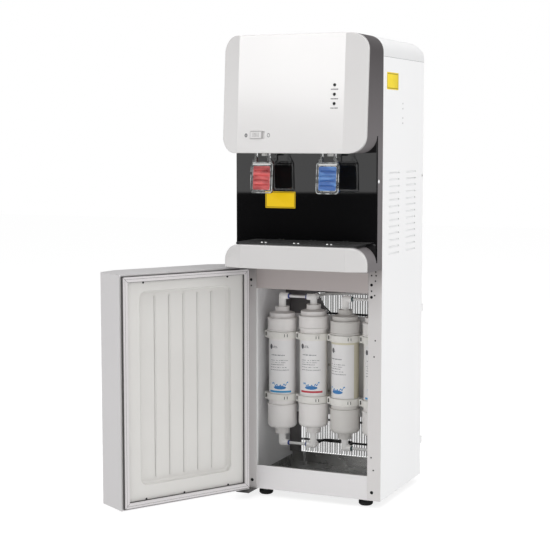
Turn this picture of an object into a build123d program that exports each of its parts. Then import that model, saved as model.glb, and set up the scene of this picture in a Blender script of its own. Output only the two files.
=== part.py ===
# Free-standing hot and cold water purifier with a filter bay behind a swinging door.
# Millimetres. X is to the right, Y to the rear and Z up. The origin lies on the floor under the
# centre of the cabinet. The door is modelled closed and then swung to the angle it stands at.
import os
from math import atan2, cos, degrees, radians, sin

from build123d import *

# Cabinet
cabinet_width = 320.0
cabinet_depth = 272.0
total_height = 1000.0
cover_height = 43.0
floor_gap = 16.0
sheet = 1.0
corner_radius = 35.0
flange_width = 30.0
flange_return = 10.0
upper_flange_width = 14.0
rear_flange_width = 15.0
pan_sheet = 1.2
sill_height = 52.4
pan_rear_lip = 26.0
pan_side_lip = 18.0
lip_fold = 8.0
cover_wall = 2.5
cover_lip = 8.0
deck_height = 512.0
apron_height = 50.0
apron_gap = 0.4
deck_rear_gap = 24.0
shelf_drop = 35.0
shelf_lip = 12.0
deck_lip = 14.0
rear_panel_drop = 50.0

# Louvers and holes in the side panels
louver_rows = 13
louver_pitch = 14.3
louver_length = 66.0
louver_opening = 3.0
louver_blade = 0.8
louver_stand_out = 2.6
louver_margin = 0.6
louver_rise = 31.0
louver_front_inset = 41.0
louver_column_pitch = 111.0
pilot_diameter = 3.6
right_pilot_holes = ((23.0, 12.0), (13.0, 12.0), (14.0, 4.0), (23.0, 32.0), (14.5, 23.5), (23.0, 45.0),
                     (16.0, 54.0),
                     (23.0, 58.0), (14.0, 150.0), (16.4, 184.6), (21.5, 402.2), (16.3, 429.5))
left_pilot_holes = ((17.6, 32.0), (17.6, 45.0))
flange_screw_inset = 19.5
flange_screw_height = 34.0
vent_dot_drops = (138.0, 149.0, 169.0, 180.0)
vent_dot_inset = 127.0
vent_dot_diameter = 2.2

# Front frame, head, dispensing panel and tray
frame_depth = 30.0
frame_wall = 3.0
frame_web = 2.5
frame_window_half_width = 112.0
frame_window_rise = 9.0
frame_window_drop = 20.0
panel_depth = 7.0
panel_wall = 2.5
panel_foot = 12.0
panel_tuck = 39.0
panel_chamfer = 1.2
head_height = 243.0
head_reach_top = 86.9
head_reach_bottom = 103.6
head_bow = 20.0
crease_half_width = 118.0
facia_wall = 3.0
facia_skirt = 7.0
facia_edge = 1.5
housing_wall = 3.0
tray_height = 51.0
tray_facia_gap = 1.5
tray_reach = 95.0
tray_bow = 12.0

# Drip tray and grille
basin_half_width = 117.0
basin_depth = 33.0
basin_front = 85.0
basin_back = 43.0
basin_wall = 2.0
rim_half_width = 139.0
rim_front = 87.5
rim_thickness = 1.4
grille_thickness = 2.2
grille_clearance = 0.5
slot_count = 23
slot_pitch = 10.8
slot_width = 3.2
slot_length = 35.0

# Indicator lenses and child-lock slider
lens_diameter = 6.2
lens_clearance = 0.1
lens_side = 96.5
lens_drops = (105.0, 124.0, 142.7)
lens_flange = 9.0
slider_left = -88.0
slider_opening = 32.4
slider_height = 15.0
slider_rise = 37.5
slider_knob = 26.0
slider_travel = 6.0
slider_clearance = 0.2
slider_stand_out = 1.6
slider_back_plate = 2.0
slider_overlap = 3.0
board_width = 96.0
board_height = 70.0
board_thickness = 1.6
board_stand_off = 7.0
board_post_diameter = 6.0
board_post_span = 0.8

# Taps
tap_side = 74.0
tap_reach = 76.0
pivot_reach = 90.0
pivot_rise = 39.0
barrel_diameter = 20.0
barrel_height = 26.0
tap_flange_width = 26.0
tap_flange_thickness = 3.0
nozzle_diameter = 13.0
nozzle_drop = 6.0
nozzle_bore = 7.0
nozzle_ring_diameter = 15.0
nozzle_ring_height = 4.0
lever_pin_diameter = 4.0
pin_clearance = 0.05
lug_inner = 7.0
lug_gap = 0.6
lug_drop = 16.0
lug_step = 2.0
arm_inner = 12.4
arm_outer = 16.4
arm_thickness = 6.0
arm_slot_back = 13.0
arm_slot_side = 1.0
eye_diameter = 10.0
heel_length = 17.0
heel_top = 4.0
stem_diameter = 5.0
stem_foot_rise = 11.0
stem_bar = 3.0
stem_bar_gap = 0.15
paddle_width = 51.0
paddle_drop = 18.5
paddle_height = 65.5
shoulder_rise = 14.0
paddle_edge = 1.2
paddle_thickness = 7.0
paddle_corner = 7.0
paddle_slant = 4.0
pad_width = 39.0
pad_height = 50.0
pad_corner = 3.5
pad_drop = 33.5
pad_thickness = 5.0
pad_seat = 1.5
pad_ribs = 4
pad_rib_depth = 1.5
pad_rib_inset = 4.0
port_diameter = 9.0
port_rise = 18.0
port_reach = 58.0
hose_diameter = 12.0
hose_grip = 14.0

# Door
door_foot_gap = 4.8
door_head_gap = 0.5
door_inner_gap = 8.4
door_edge_thickness = 79.3
door_bow = 20.0
door_wall = 3.0
door_edge = 2.0
door_angle = 120.5
hinge_side_inset = 6.9
hinge_depth = 18.0
hinge_pin_diameter = 6.0
hinge_boss_height = 16.0
hinge_boss_half_width = 9.0
hinge_collar_diameter = 12.0
hinge_gap = 0.3
bracket_thickness = 2.0
bracket_width = 30.0
bracket_front = 42.0
bracket_back = 24.0
gasket_width = 10.5
gasket_rest_gap = 0.8
gasket_edge_gap = 5.0
gasket_root = 1.2
liner_wall = 2.0
liner_clearance = 0.3
recess_half_width = 112.0
recess_low_inset = 47.2
recess_high_inset = 37.5
recess_depth = 12.0
recess_corner = 14.0
rib_pitch = 35.0
rib_count = 7
rib_width = 3.0
rib_height = 1.4
rib_margin = 12.0

# Filter bay
filter_count = 4
filter_pitch = 76.0
filter_set_back = 106.0
filter_diameter = 61.0
filter_cap_diameter = 65.6
filter_shoulder_diameter = 57.5
filter_neck_diameter = 32.0
filter_head_room = 155.5
filter_body_length = 165.5
filter_cap_height = 30.0
filter_low_cap_height = 54.5
filter_shoulder_height = 10.5
filter_neck_length = 14.0
filter_low_neck_length = 14.5
second_filter_lift = 8.0
stem_fitting_diameter = 15.5
fitting_diameter = 14.0
elbow_rise = 24.0
elbow_drop = 22.0
elbow_reach = 15.0
collet_diameter = 11.0
collet_length = 3.0
tube_diameter = 6.35
tube_hole_clearance = 1.0
supply_gap = 30.0
supply_run = 60.0
supply_approach = 30.0
supply_riser = 25.0
supply_bend = 14.0
cross_gap = 22.0
cross_bend = 16.0
product_gap = 4.0
product_riser = 24.0
product_bend = 12.0
clip_outer_diameter = 69.0
clip_height = 15.0
lower_clip_rise = 16.5
upper_clip_drop = 8.0
clip_ear_width = 9.0
clip_ear_depth = 13.0
clip_slot = 3.4
filter_plate_gap = 3.0
filter_plate_sheet = 1.5
filter_plate_foot = 42.5
filter_plate_head = 43.5
filter_plate_lip = 14.0

# Feet
foot_diameter = 31.0
foot_height = 9.0
foot_side_inset = 42.0
foot_end_inset = 26.0
foot_hex = 13.0
foot_stud_diameter = 8.0
foot_stud_clearance = 0.05
foot_stud_top = 44.0
foot_nut = 13.0
foot_nut_height = 6.5
foot_travel = 10.0

# Condenser
condenser_gap = 13.0
condenser_tube = 5.0
condenser_rows = 8
condenser_head_room = 84.6
condenser_low_row = 69.0
condenser_half_width = 128.0
condenser_bend_gap = 3.2
wire_size = 1.5
wire_pitch = 6.2
wire_count = 45
wire_low_overrun = 29.0
wire_high_overrun = 9.6
bracket_arm = 3.0
bracket_arm_height = 16.0
coil_end_inset = 10.0

# Compressor and cold side
compressor_side = -52.0
compressor_set_back = 178.0
compressor_diameter = 122.0
compressor_head_room = 48.0
compressor_seam_share = 0.56
compressor_dome_share = 0.2
compressor_seam_height = 4.0
compressor_seam_reach = 3.0
compressor_foot_height = 12.0
compressor_foot_span = 118.0
compressor_foot_sheet = 3.0
grommet_diameter = 20.0
relay_depth = 34.0
relay_width = 46.0
relay_height = 52.0
relay_rise = 32.0
relay_grip = 10.0
grommet_bore_share = 0.6
line_diameter = 6.0
drier_diameter = 18.0
drier_length = 78.0
line_clearance = 12.0
line_side = 142.0
line_bend = 8.0
line_rise = 24.0
line_offset = 18.0
discharge_fall = 20.0
drier_lead = 60.0
drier_entry = 30.0
capillary_offset = 26.0
capillary_loop = ((0.0, 0.0), (3.0, 13.0), (40.0, 46.0), (51.0, 70.0), (15.0, 94.0))
capillary_diameter = 3.0
drier_side = -55.0
drier_bottom = 290.0
tank_set_back = 122.0
tank_wall = 1.0
cold_tank_side = 76.0
cold_tank_diameter = 118.0
cold_tank_height = 150.0
cold_jacket = 17.0
hot_tank_side = -78.0
hot_tank_diameter = 104.0
hot_tank_height = 140.0
hot_jacket = 20.0
jacket_floor = 12.0
thermostat_diameter = 17.0
thermostat_height = 24.0

# Electrical and water services
box_width = 84.0
box_depth = 62.0
box_height = 70.0
box_side = 106.0
box_set_back = 62.0
box_wall = 2.0
box_corner = 5.0
inlet_side = -112.0
inlet_rise = 54.0
inlet_width = 47.0
inlet_flange_height = 28.0
inlet_flange = 2.5
inlet_body_depth = 22.0
inlet_mouth_inset = 8.0
inlet_mouth_height = 15.0
inlet_pin_gap = 4.0
inlet_pin_pitch = 7.0
inlet_pin_width = 2.0
inlet_pin_height = 6.0
switch_rise = 114.0
switch_pitch = 34.0
switch_width = 14.0
switch_tall = 20.0
switch_bezel = 3.0
switch_tilt = 8.0
switch_depth = 9.0
switch_dish = 1.6
switch_stud = 3.0
switch_stud_length = 1.6
switch_gap = 0.35
switch_housing_depth = 16.0
water_inlet_side = 112.0
water_inlet_rise = 33.0
union_diameter = 15.0
union_hex = 20.0
union_length = 26.0
union_bore_depth = 14.0
union_bore_clearance = 0.1
valve_width = 34.0
valve_depth = 40.0
valve_body_rise = 12.0
coil_height = 28.0
coil_step = 1.0
valve_link_diameter = 12.0
valve_gap = 18.0
drain_side = -78.0
drain_rise = 24.0
drain_diameter = 14.0
drain_wall = 2.0
drain_length = 22.0
drain_cap_diameter = 22.0
drain_cap_wall = 2.5
drain_cap_travel = 20.0
screw_head = 7.5
screw_head_height = 0.5
screw_shank = 3.6
screw_length = 8.0

# Places that follow from the driving sizes
half_width = cabinet_width / 2
front = -cabinet_depth / 2
rear = cabinet_depth / 2
inner_half = half_width - sheet
rear_panel_bottom = deck_height - rear_panel_drop
seam = total_height - cover_height
head_bottom = total_height - head_height
shelf_height = head_bottom - shelf_drop
pivot_height = head_bottom + pivot_rise
port_height = head_bottom + port_rise
barrel_top = head_bottom + housing_wall + barrel_height
nozzle_bottom = head_bottom - nozzle_drop
stem_foot = head_bottom + stem_foot_rise
paddle_top = head_bottom - paddle_drop
paddle_bottom = paddle_top - paddle_height
pad_centre = paddle_top - pad_drop
slider_level = head_bottom + slider_rise
lens_heights = [total_height - drop for drop in lens_drops]
compressor_height = shelf_height - deck_height - compressor_foot_height - compressor_head_room
inlet_height = deck_height + inlet_rise
switch_height = deck_height + switch_rise
water_inlet_height = deck_height + water_inlet_rise
drain_height = shelf_height + drain_rise
frame_front = front - frame_depth
panel_front = frame_front - panel_depth
pan_top = floor_gap + pan_sheet
frame_bottom = deck_height + bracket_thickness
tray_top = frame_bottom + tray_height
door_bottom = floor_gap + door_foot_gap
door_top = deck_height - door_head_gap
recess_bottom = door_bottom + recess_low_inset
recess_top = door_top - recess_high_inset
sill_top = floor_gap + sill_height
filter_body_top = deck_height - filter_head_room
filter_body_bottom = filter_body_top - filter_body_length
filter_cap_top = filter_body_top + filter_cap_height
filter_cap_bottom = filter_body_bottom - filter_low_cap_height
filter_shoulder_top = filter_cap_top + filter_shoulder_height
filter_neck_top = filter_shoulder_top + filter_neck_length
filter_neck_bottom = filter_cap_bottom - filter_low_neck_length
top_line_height = filter_neck_top + elbow_rise
bottom_line_height = filter_neck_bottom - elbow_drop
lower_clip_height = filter_body_bottom + lower_clip_rise
upper_clip_height = filter_body_top - upper_clip_drop
filter_plate_bottom = lower_clip_height - filter_plate_foot
filter_plate_top = upper_clip_height + filter_plate_head
condenser_top_row = deck_height - condenser_head_room
condenser_pitch = (condenser_top_row - condenser_low_row) / (condenser_rows - 1)
condenser_bend = (condenser_pitch - condenser_bend_gap) / 2
wire_bottom = condenser_low_row - wire_low_overrun
wire_top = condenser_top_row + wire_high_overrun
filter_y = front + filter_set_back
plate_y = filter_y + clip_outer_diameter / 2 + filter_plate_gap
tank_y = front + tank_set_back
condenser_y = rear + condenser_gap
hinge_x = -half_width + hinge_side_inset
hinge_y = front - door_inner_gap - hinge_depth
hinge_axis = Axis((hinge_x, hinge_y, 0), (0, 0, 1))
door_inner = front - door_inner_gap
head_slant = head_reach_bottom - head_reach_top
filter_xs = [filter_pitch * (i - (filter_count - 1) / 2) for i in range(filter_count)]
filter_lifts = [second_filter_lift if i == 1 else 0.0 for i in range(filter_count)]
foot_places = {
    "front_left_foot": (-half_width + foot_side_inset, front + foot_end_inset),
    "front_right_foot": (half_width - foot_side_inset, front + foot_end_inset),
    "rear_left_foot": (-half_width + foot_side_inset, rear - foot_end_inset),
    "rear_right_foot": (half_width - foot_side_inset, rear - foot_end_inset),
}
far = 600.0


def block(x_low, x_high, y_low, y_high, z_low, z_high):
    """A box given by its lowest and highest corners."""
    centre = ((x_low + x_high) / 2, (y_low + y_high) / 2, (z_low + z_high) / 2)
    return Pos(*centre) * Box(x_high - x_low, y_high - y_low, z_high - z_low)


def rod(x, y, z, diameter, length, direction):
    """A cylinder that starts at a point and runs along a direction."""
    start = Plane(origin=(x, y, z), z_dir=direction)
    return start * Cylinder(diameter / 2, length, align=(Align.CENTER, Align.CENTER, Align.MIN))


def hexagon(x, y, z, across_flats, height):
    """An upright hexagonal prism that starts at a point."""
    outline = RegularPolygon(across_flats / 2, 6, major_radius=False)
    return Pos(x, y, z) * extrude(outline, height)


def upright_outline(half, z_low, z_high, top_radius, low_radius):
    """A face in the XZ plane with rounded upper and, if asked for, rounded lower corners."""
    corners = Plane.XZ * Pos(0, (z_low + z_high) / 2) * Rectangle(2 * half, z_high - z_low)
    tops = corners.vertices().group_by(Axis.Z)[-1]
    lows = corners.vertices().group_by(Axis.Z)[0]
    face = fillet(tops, top_radius) if top_radius > 0 else corners
    if low_radius > 0:
        lows = face.vertices().group_by(Axis.Z)[0]
        face = fillet(lows, low_radius)
    return face


def slab(face, y_low, y_high):
    """An XZ face made solid from one Y to another."""
    return Pos(0, y_high, 0) * extrude(face, y_high - y_low)


def plan_prism(points, edge_low, edge_high, z_low, z_high):
    """A plan outline carried up along a line that leans from one Y at the foot to another at the top."""
    lean = Plane(origin=(0, edge_low, z_low), x_dir=(1, 0, 0),
                 z_dir=(0, edge_high - edge_low, z_high - z_low))
    outline = make_face(Polyline(*points, close=True))
    spare = corner_radius
    shape = extrude(Pos(0, 0, -spare) * outline, (z_high - z_low) + 2 * spare + abs(edge_high - edge_low))
    return lean * shape


def bow_points(half, bow, back, shift=0.0):
    """Plan of a three-facet bowed front, drawn past the side edges, from the bow back to a straight line."""
    over = half * 0.05
    slope = bow / (half - crease_half_width)
    side = over * slope + shift
    return [(-half - over, back), (-half - over, side), (-crease_half_width, shift - bow),
            (crease_half_width, shift - bow), (half + over, side), (half + over, back)]


def bowed_cap(z_low, z_high, reach_low, reach_high, bow, top_radius, low_radius):
    """A hollow moulded cover with a bowed front and a short skirt, open at the back."""
    edge_low = front - reach_low
    edge_high = front - reach_high
    outside = slab(upright_outline(half_width, z_low, z_high, top_radius, low_radius), front - far, front)
    inside = slab(
        upright_outline(half_width - facia_wall, z_low + facia_wall, z_high - facia_wall,
                        max(top_radius - facia_wall, 0), max(low_radius - facia_wall, 0)),
        front - far, front)
    whole = plan_prism(bow_points(half_width, bow, facia_skirt), edge_low, edge_high, z_low, z_high)
    hollow = plan_prism(bow_points(half_width, bow, far / 2, facia_wall), edge_low, edge_high, z_low, z_high)
    cover = outside & whole
    faces = cover.faces().filter_by(lambda face: face.normal_at().Y < -0.5)
    return fillet(outer_edges(faces), facia_edge) - (inside & hollow)


def outer_edges(faces):
    """The edges of a group of faces that belong to one of them only."""
    edges = [edge for face in faces for edge in face.edges()]
    return [edge for edge in edges if sum(edge.is_same(other) for other in edges) == 1]


def behind_rim(reach_low, reach_high, z_low, z_high):
    """Everything behind the back edge of a bowed cap."""
    wide = half_width * 1.1
    points = [(-wide, facia_skirt), (wide, facia_skirt), (wide, far), (-wide, far)]
    return plan_prism(points, front - reach_low, front - reach_high, z_low, z_high)


def head_face_y(z):
    """Y of the flat middle of the head facia at a height."""
    share = (z - head_bottom) / head_height
    return front - head_reach_bottom + head_slant * share - head_bow


def facia_plane(x, z):
    """A plane on the middle of the head facia, with its normal pointing out to the front."""
    lean = Vector(0, head_slant, head_height).normalized()
    outward = Vector(0, -lean.Z, lean.Y)
    return Plane(origin=(x, head_face_y(z), z), x_dir=(1, 0, 0), z_dir=outward)


def tube_along(points, diameter, radii):
    """A round tube along straight runs that are joined by tangent arcs."""
    path = FilletPolyline(*points, radius=radii) if len(points) > 2 else Line(*points)
    start = Plane(origin=path @ 0, z_dir=path % 0)
    return sweep(start * Circle(diameter / 2), path=path)


# Side panel: a folded steel sheet with louvers, pilot holes and flanges
def louver(level, y_centre):
    """One pressed louver on the right side panel: its slot and the blade that covers it."""
    slot = block(inner_half - sheet, half_width + sheet, y_centre - louver_length / 2,
                 y_centre + louver_length / 2, level - louver_opening / 2, level + louver_opening / 2)
    top = level + louver_opening / 2 + louver_margin
    foot = level - louver_opening / 2 - louver_margin
    blade_points = [(inner_half + sheet / 2, top), (inner_half + sheet / 2, top + louver_blade),
                    (inner_half - louver_blade / 2, top + louver_blade),
                    (inner_half - louver_stand_out - louver_blade / 2, foot + louver_blade),
                    (inner_half - louver_stand_out - louver_blade / 2, foot),
                    (inner_half - louver_blade / 2, top)]
    y_high = y_centre + louver_length / 2 + louver_margin
    start = Plane(origin=(0, y_high, 0), x_dir=(1, 0, 0), z_dir=(0, -1, 0))
    blade = extrude(start * make_face(Polyline(*blade_points, close=True)), louver_length + 2 * louver_margin)
    return slot, blade


def side_panel(pilot_holes):
    """The right side panel with its own pilot holes; the left one is its mirror image."""
    wall = block(inner_half, half_width, front, rear, floor_gap, seam)
    flange = block(half_width - flange_width, half_width, front, front + sheet, floor_gap, deck_height)
    fold = block(half_width - flange_width, half_width - flange_width + sheet, front,
                 front + flange_return, sill_top, deck_height - apron_height)
    upper = block(half_width - upper_flange_width, half_width, front, front + sheet, deck_height, seam)
    back = block(half_width - rear_flange_width, half_width, rear - sheet, rear, floor_gap, seam)
    panel = wall + flange + fold + upper + back
    slots = []
    blades = []
    for column in range(2):
        y_centre = front + louver_front_inset + louver_length / 2 + column * louver_column_pitch
        for row in range(louver_rows):
            slot, blade = louver(deck_height + louver_rise + row * louver_pitch, y_centre)
            slots.append(slot)
            blades.append(blade)
    for inset, drop in pilot_holes:
        slots.append(rod(half_width - inset, front - sheet, deck_height - drop, pilot_diameter, 3 * sheet,
                         (0, 1, 0)))
    for drop in vent_dot_drops:
        slots.append(rod(inner_half - sheet, front + vent_dot_inset, total_height - drop, vent_dot_diameter,
                         3 * sheet, (1, 0, 0)))
    slots.append(rod(half_width - flange_screw_inset, front - sheet, flange_screw_height, screw_shank,
                     3 * sheet,
                     (0, 1, 0)))
    return panel - slots + blades


def base_pan():
    half = inner_half
    y_low = front + sheet
    y_high = rear - sheet
    floor = block(-half, half, y_low, y_high, floor_gap, pan_top)
    sill = block(-half, half, y_low, y_low + pan_sheet, floor_gap, sill_top)
    fold_half = half_width - flange_width - sheet
    fold = block(-fold_half, fold_half, y_low, y_low + lip_fold, sill_top - pan_sheet, sill_top)
    back = block(-half, half, y_high - pan_sheet, y_high, floor_gap, floor_gap + pan_rear_lip)
    pan = floor + sill + fold + back
    for side in (-1, 1):
        edge = sorted((side * half, side * (half - pan_sheet)))
        pan += block(edge[0], edge[1], y_low, y_high, floor_gap, floor_gap + pan_side_lip)
    for x, y in foot_places.values():
        pan += hexagon(x, y, pan_top, foot_nut, foot_nut_height)
        pan -= rod(x, y, floor_gap - 1, foot_stud_diameter + 2 * foot_stud_clearance,
                   foot_travel + foot_nut_height,
                   (0, 0, 1))
    for side in (-1, 1):
        pan -= rod(side * (half_width - flange_screw_inset), y_low - 1, flange_screw_height, screw_shank,
                   pan_sheet + 2, (0, 1, 0))
    return pan


def top_cover():
    shell = block(-half_width, half_width, front, rear, seam, total_height)
    round_edges = [e for e in shell.edges().group_by(Axis.Z)[-1] if abs(e.center().Y - front) > 1]
    shell = fillet(round_edges, corner_radius)
    inside = block(-half_width + cover_wall, half_width - cover_wall, front - far, rear - cover_wall,
                   seam - cover_lip, total_height - cover_wall)
    open_end = inside.bounding_box().min.Y
    inner_edges = [e for e in inside.edges().group_by(Axis.Z)[-1] if abs(e.center().Y - open_end) > 1]
    inside = fillet(inner_edges, corner_radius - cover_wall)
    lip = block(-inner_half, inner_half, front + sheet, rear - 2 * sheet, seam - cover_lip, seam)
    return shell + lip - inside


def mid_deck():
    y_low = front + sheet
    plate = block(-inner_half, inner_half, y_low, rear - deck_rear_gap, deck_height - sheet, deck_height)
    apron_half = half_width - flange_width - apron_gap
    apron = block(-apron_half, apron_half, front, front + sheet, deck_height - apron_height, deck_height)
    fold = block(-apron_half, apron_half, front, front + 2 * lip_fold, deck_height - apron_height,
                 deck_height - apron_height + sheet)
    deck = plate + apron + fold
    for side in (-1, 1):
        edge = sorted((side * inner_half, side * (inner_half - sheet)))
        deck += block(edge[0], edge[1], y_low, rear - deck_rear_gap, deck_height - deck_lip, deck_height)
    for x, y in ((product_tube_x(), product_tube_y()), (valve_x(), tube_pass_y())):
        deck -= rod(x, y, deck_height - 2 * sheet, tube_diameter + 2 * tube_hole_clearance, 4 * sheet,
                    (0, 0, 1))
    return deck


def tank_shelf():
    y_low = front + sheet
    plate = block(-inner_half, inner_half, y_low + lip_fold, rear - 2 * lip_fold, shelf_height,
                  shelf_height + sheet)
    shelf = plate
    for side in (-1, 1):
        edge = sorted((side * inner_half, side * (inner_half - sheet)))
        shelf += block(edge[0], edge[1], y_low + lip_fold, rear - 2 * lip_fold, shelf_height,
                       shelf_height + shelf_lip)
    return shelf


def rear_panel():
    plate = block(-inner_half, inner_half, rear - 2 * sheet, rear - sheet, rear_panel_bottom,
                  seam - cover_lip)
    cut = [rod(water_inlet_side, rear - far, water_inlet_height, union_diameter, 2 * far, (0, 1, 0)),
           rod(drain_side, rear - far, drain_height, drain_diameter, 2 * far, (0, 1, 0)),
           block(inlet_side - inlet_width / 2 + inlet_flange, inlet_side + inlet_width / 2 - inlet_flange,
                 rear - far, rear + far, inlet_height - inlet_flange_height / 2 + inlet_flange,
                 inlet_height + inlet_flange_height / 2 - inlet_flange)]
    for x in switch_xs():
        cut.append(block(x - switch_width / 2 - switch_bezel, x + switch_width / 2 + switch_bezel, rear - far,
                         rear + far, switch_height - switch_tall / 2 - switch_bezel,
                         switch_height + switch_tall / 2 + switch_bezel))
    return plate - cut


# Front frame, head, panel and tray
def head_outline(inset=0.0):
    return upright_outline(half_width - inset, head_bottom + inset, total_height - inset,
                           corner_radius - inset, corner_radius - inset)


def tray_outline(inset=0.0):
    return upright_outline(half_width - inset, frame_bottom + inset, tray_top - inset,
                           corner_radius - inset, 0)


def frame_outline(inset=0.0):
    return upright_outline(half_width - inset, frame_bottom + inset, total_height - inset,
                           corner_radius - inset, 0)


def front_frame():
    ring = slab(frame_outline(), frame_front, front) - slab(frame_outline(frame_wall),
                                                            frame_front + frame_web, front)
    window = block(-frame_window_half_width, frame_window_half_width, frame_front - far, front,
                   head_bottom + frame_window_rise, total_height - frame_window_drop)
    plug = rod(half_width - frame_wall - 1, front - frame_depth * 0.8, plug_height(), screw_head, far,
               (1, 0, 0))
    return ring - window - plug


def plug_height():
    return (tray_top + head_bottom) / 2 + screw_head * 5


def head_housing():
    shell = slab(head_outline(), front - far, frame_front)
    hollow = slab(head_outline(housing_wall), front - far - 1, frame_front)
    housing = (shell - hollow) & behind_rim(head_reach_bottom, head_reach_top, head_bottom, total_height)
    for side in (-1, 1):
        x = side * tap_side
        for arm in (-1, 1):
            edge = sorted((x + arm * (arm_inner - arm_slot_side), x + arm * (arm_outer + arm_slot_side)))
            housing -= block(edge[0], edge[1], front - far, front - pivot_reach + arm_slot_back,
                             head_bottom - 1, head_bottom + housing_wall + 1)
        housing -= rod(x, front - tap_reach, head_bottom - 1, nozzle_diameter, housing_wall + 2, (0, 0, 1))
    return housing


def head_facia():
    cover = bowed_cap(head_bottom, total_height, head_reach_bottom, head_reach_top, head_bow,
                      corner_radius, corner_radius)
    for level in lens_heights:
        cover -= facia_plane(lens_side, level) * Cylinder(lens_diameter / 2 + lens_clearance, 4 * facia_wall)
    middle = slider_left + slider_opening / 2
    cover -= facia_plane(middle, slider_level) * Box(slider_opening, slider_height, 4 * facia_wall)
    for x, z in board_posts():
        post = Pos(0, 0, -facia_wall - board_stand_off) * Cylinder(
            board_post_diameter / 2, board_stand_off + facia_wall / 2,
                                                                   align=(Align.CENTER, Align.CENTER,
                                                                          Align.MIN))
        cover += facia_plane(x, z) * post
    return cover


def board_posts():
    """The four posts behind the head facia that carry the display board."""
    x_centre = lens_side - board_width / 4
    z_centre = lens_heights[1]
    half_x = board_width / 2 * board_post_span
    half_z = board_height / 2 * board_post_span
    return [(x_centre + i * half_x, z_centre + k * half_z) for i in (-1, 1) for k in (-1, 1)]


def display_board():
    x_centre = lens_side - board_width / 4
    depth = -facia_wall - board_stand_off - board_thickness / 2
    return facia_plane(x_centre, lens_heights[1]) * Pos(0, 0, depth) * Box(board_width, board_height,
                                                                           board_thickness)


def indicator_lenses():
    lenses = []
    for level in lens_heights:
        stalk = Pos(0, 0, -facia_wall / 2) * Cylinder(lens_diameter / 2, facia_wall)
        crown = Cylinder(lens_diameter / 2, 0.8)
        crown = fillet(crown.edges().group_by(Axis.Z)[-1], 0.6)
        flange = Pos(0, 0, -facia_wall - (board_stand_off) / 2) * Cylinder(lens_flange / 2, board_stand_off)
        lenses.append(facia_plane(lens_side, level) * (stalk + Pos(0, 0, 0.2) * crown + flange))
    return lenses


def child_lock_slider():
    height = slider_height - 2 * slider_clearance
    middle = slider_left + slider_clearance + slider_knob / 2
    knob = Pos(0, 0, (slider_stand_out - facia_wall) / 2) * Box(slider_knob, height,
                                                                slider_stand_out + facia_wall)
    knob = fillet(knob.edges().group_by(Axis.Z)[-1], 0.8)
    grips = [Pos(i * 3.0, 0, slider_stand_out) * Box(1.2, height * 0.6, 0.8) for i in (-2, -1, 0, 1, 2)]
    cover = 2 * (slider_travel + slider_overlap)
    flange = Pos(0, 0, -facia_wall - slider_clearance - slider_back_plate / 2) * Box(
        slider_knob + cover, slider_height + 2 * slider_overlap, slider_back_plate)
    neck = Pos(0, 0, -facia_wall - slider_clearance / 2) * Box(slider_knob, height, slider_clearance)
    return facia_plane(middle, slider_level) * (knob + neck + flange - grips)


def dispensing_panel():
    low = frame_bottom + panel_foot
    high = head_bottom + panel_tuck
    whole = slab(upright_outline(half_width, low, high, 0, 0), panel_front, frame_front)
    whole = chamfer(whole.edges().filter_by(Axis.Z).group_by(Axis.Y)[0], panel_chamfer)
    core = slab(upright_outline(half_width - panel_wall, low - 1, high + 1, 0, 0),
                panel_front + panel_wall, frame_front)
    shell = whole - core
    return shell - slab(head_outline(), panel_front - 1, front) - slab(tray_outline(), panel_front - 1, front)


def tray_housing():
    shell = slab(tray_outline(), front - far, frame_front)
    hollow = slab(tray_outline(housing_wall), front - far - 1, frame_front)
    housing = (shell - hollow) & behind_rim(tray_reach, tray_reach, frame_bottom, tray_top)
    mouth = block(-basin_half_width - grille_clearance, basin_half_width + grille_clearance,
                  front - basin_front - grille_clearance, front - basin_back + grille_clearance,
                  tray_top - 2 * housing_wall, tray_top + 1)
    return housing - mouth


def tray_facia():
    return bowed_cap(frame_bottom + tray_facia_gap, tray_top, tray_reach, tray_reach, tray_bow,
                     corner_radius, 0)


def drip_tray():
    basin = block(-basin_half_width, basin_half_width, front - basin_front, front - basin_back,
                  tray_top - basin_depth, tray_top)
    basin = fillet(basin.edges().filter_by(Axis.Z), 6)
    rim = block(-rim_half_width, rim_half_width, front - rim_front, panel_front - grille_clearance,
                tray_top, tray_top + rim_thickness)
    rim = fillet(rim.edges().filter_by(Axis.Z), 4)
    hollow = block(-basin_half_width + basin_wall, basin_half_width - basin_wall,
                   front - basin_front + basin_wall,
                   front - basin_back - basin_wall, tray_top - basin_depth + basin_wall, tray_top + far)
    hollow = fillet(hollow.edges().filter_by(Axis.Z), 4)
    return basin + rim - hollow


def drip_grille():
    low = tray_top + rim_thickness
    plate = block(-rim_half_width + grille_clearance, rim_half_width - grille_clearance,
                  front - rim_front + grille_clearance, panel_front - 2 * grille_clearance, low,
                  low + grille_thickness)
    plate = fillet(plate.edges().filter_by(Axis.Z), 4)
    y_middle = front - (basin_front + basin_back) / 2
    slots = [block(x - slot_width / 2, x + slot_width / 2, y_middle - slot_length / 2,
                   y_middle + slot_length / 2,
                   low - 1, low + grille_thickness + 1)
             for x in (slot_pitch * (i - (slot_count - 1) / 2) for i in range(slot_count))
             if abs(x) < basin_half_width - basin_wall - slot_width / 2]
    return plate - slots


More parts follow.
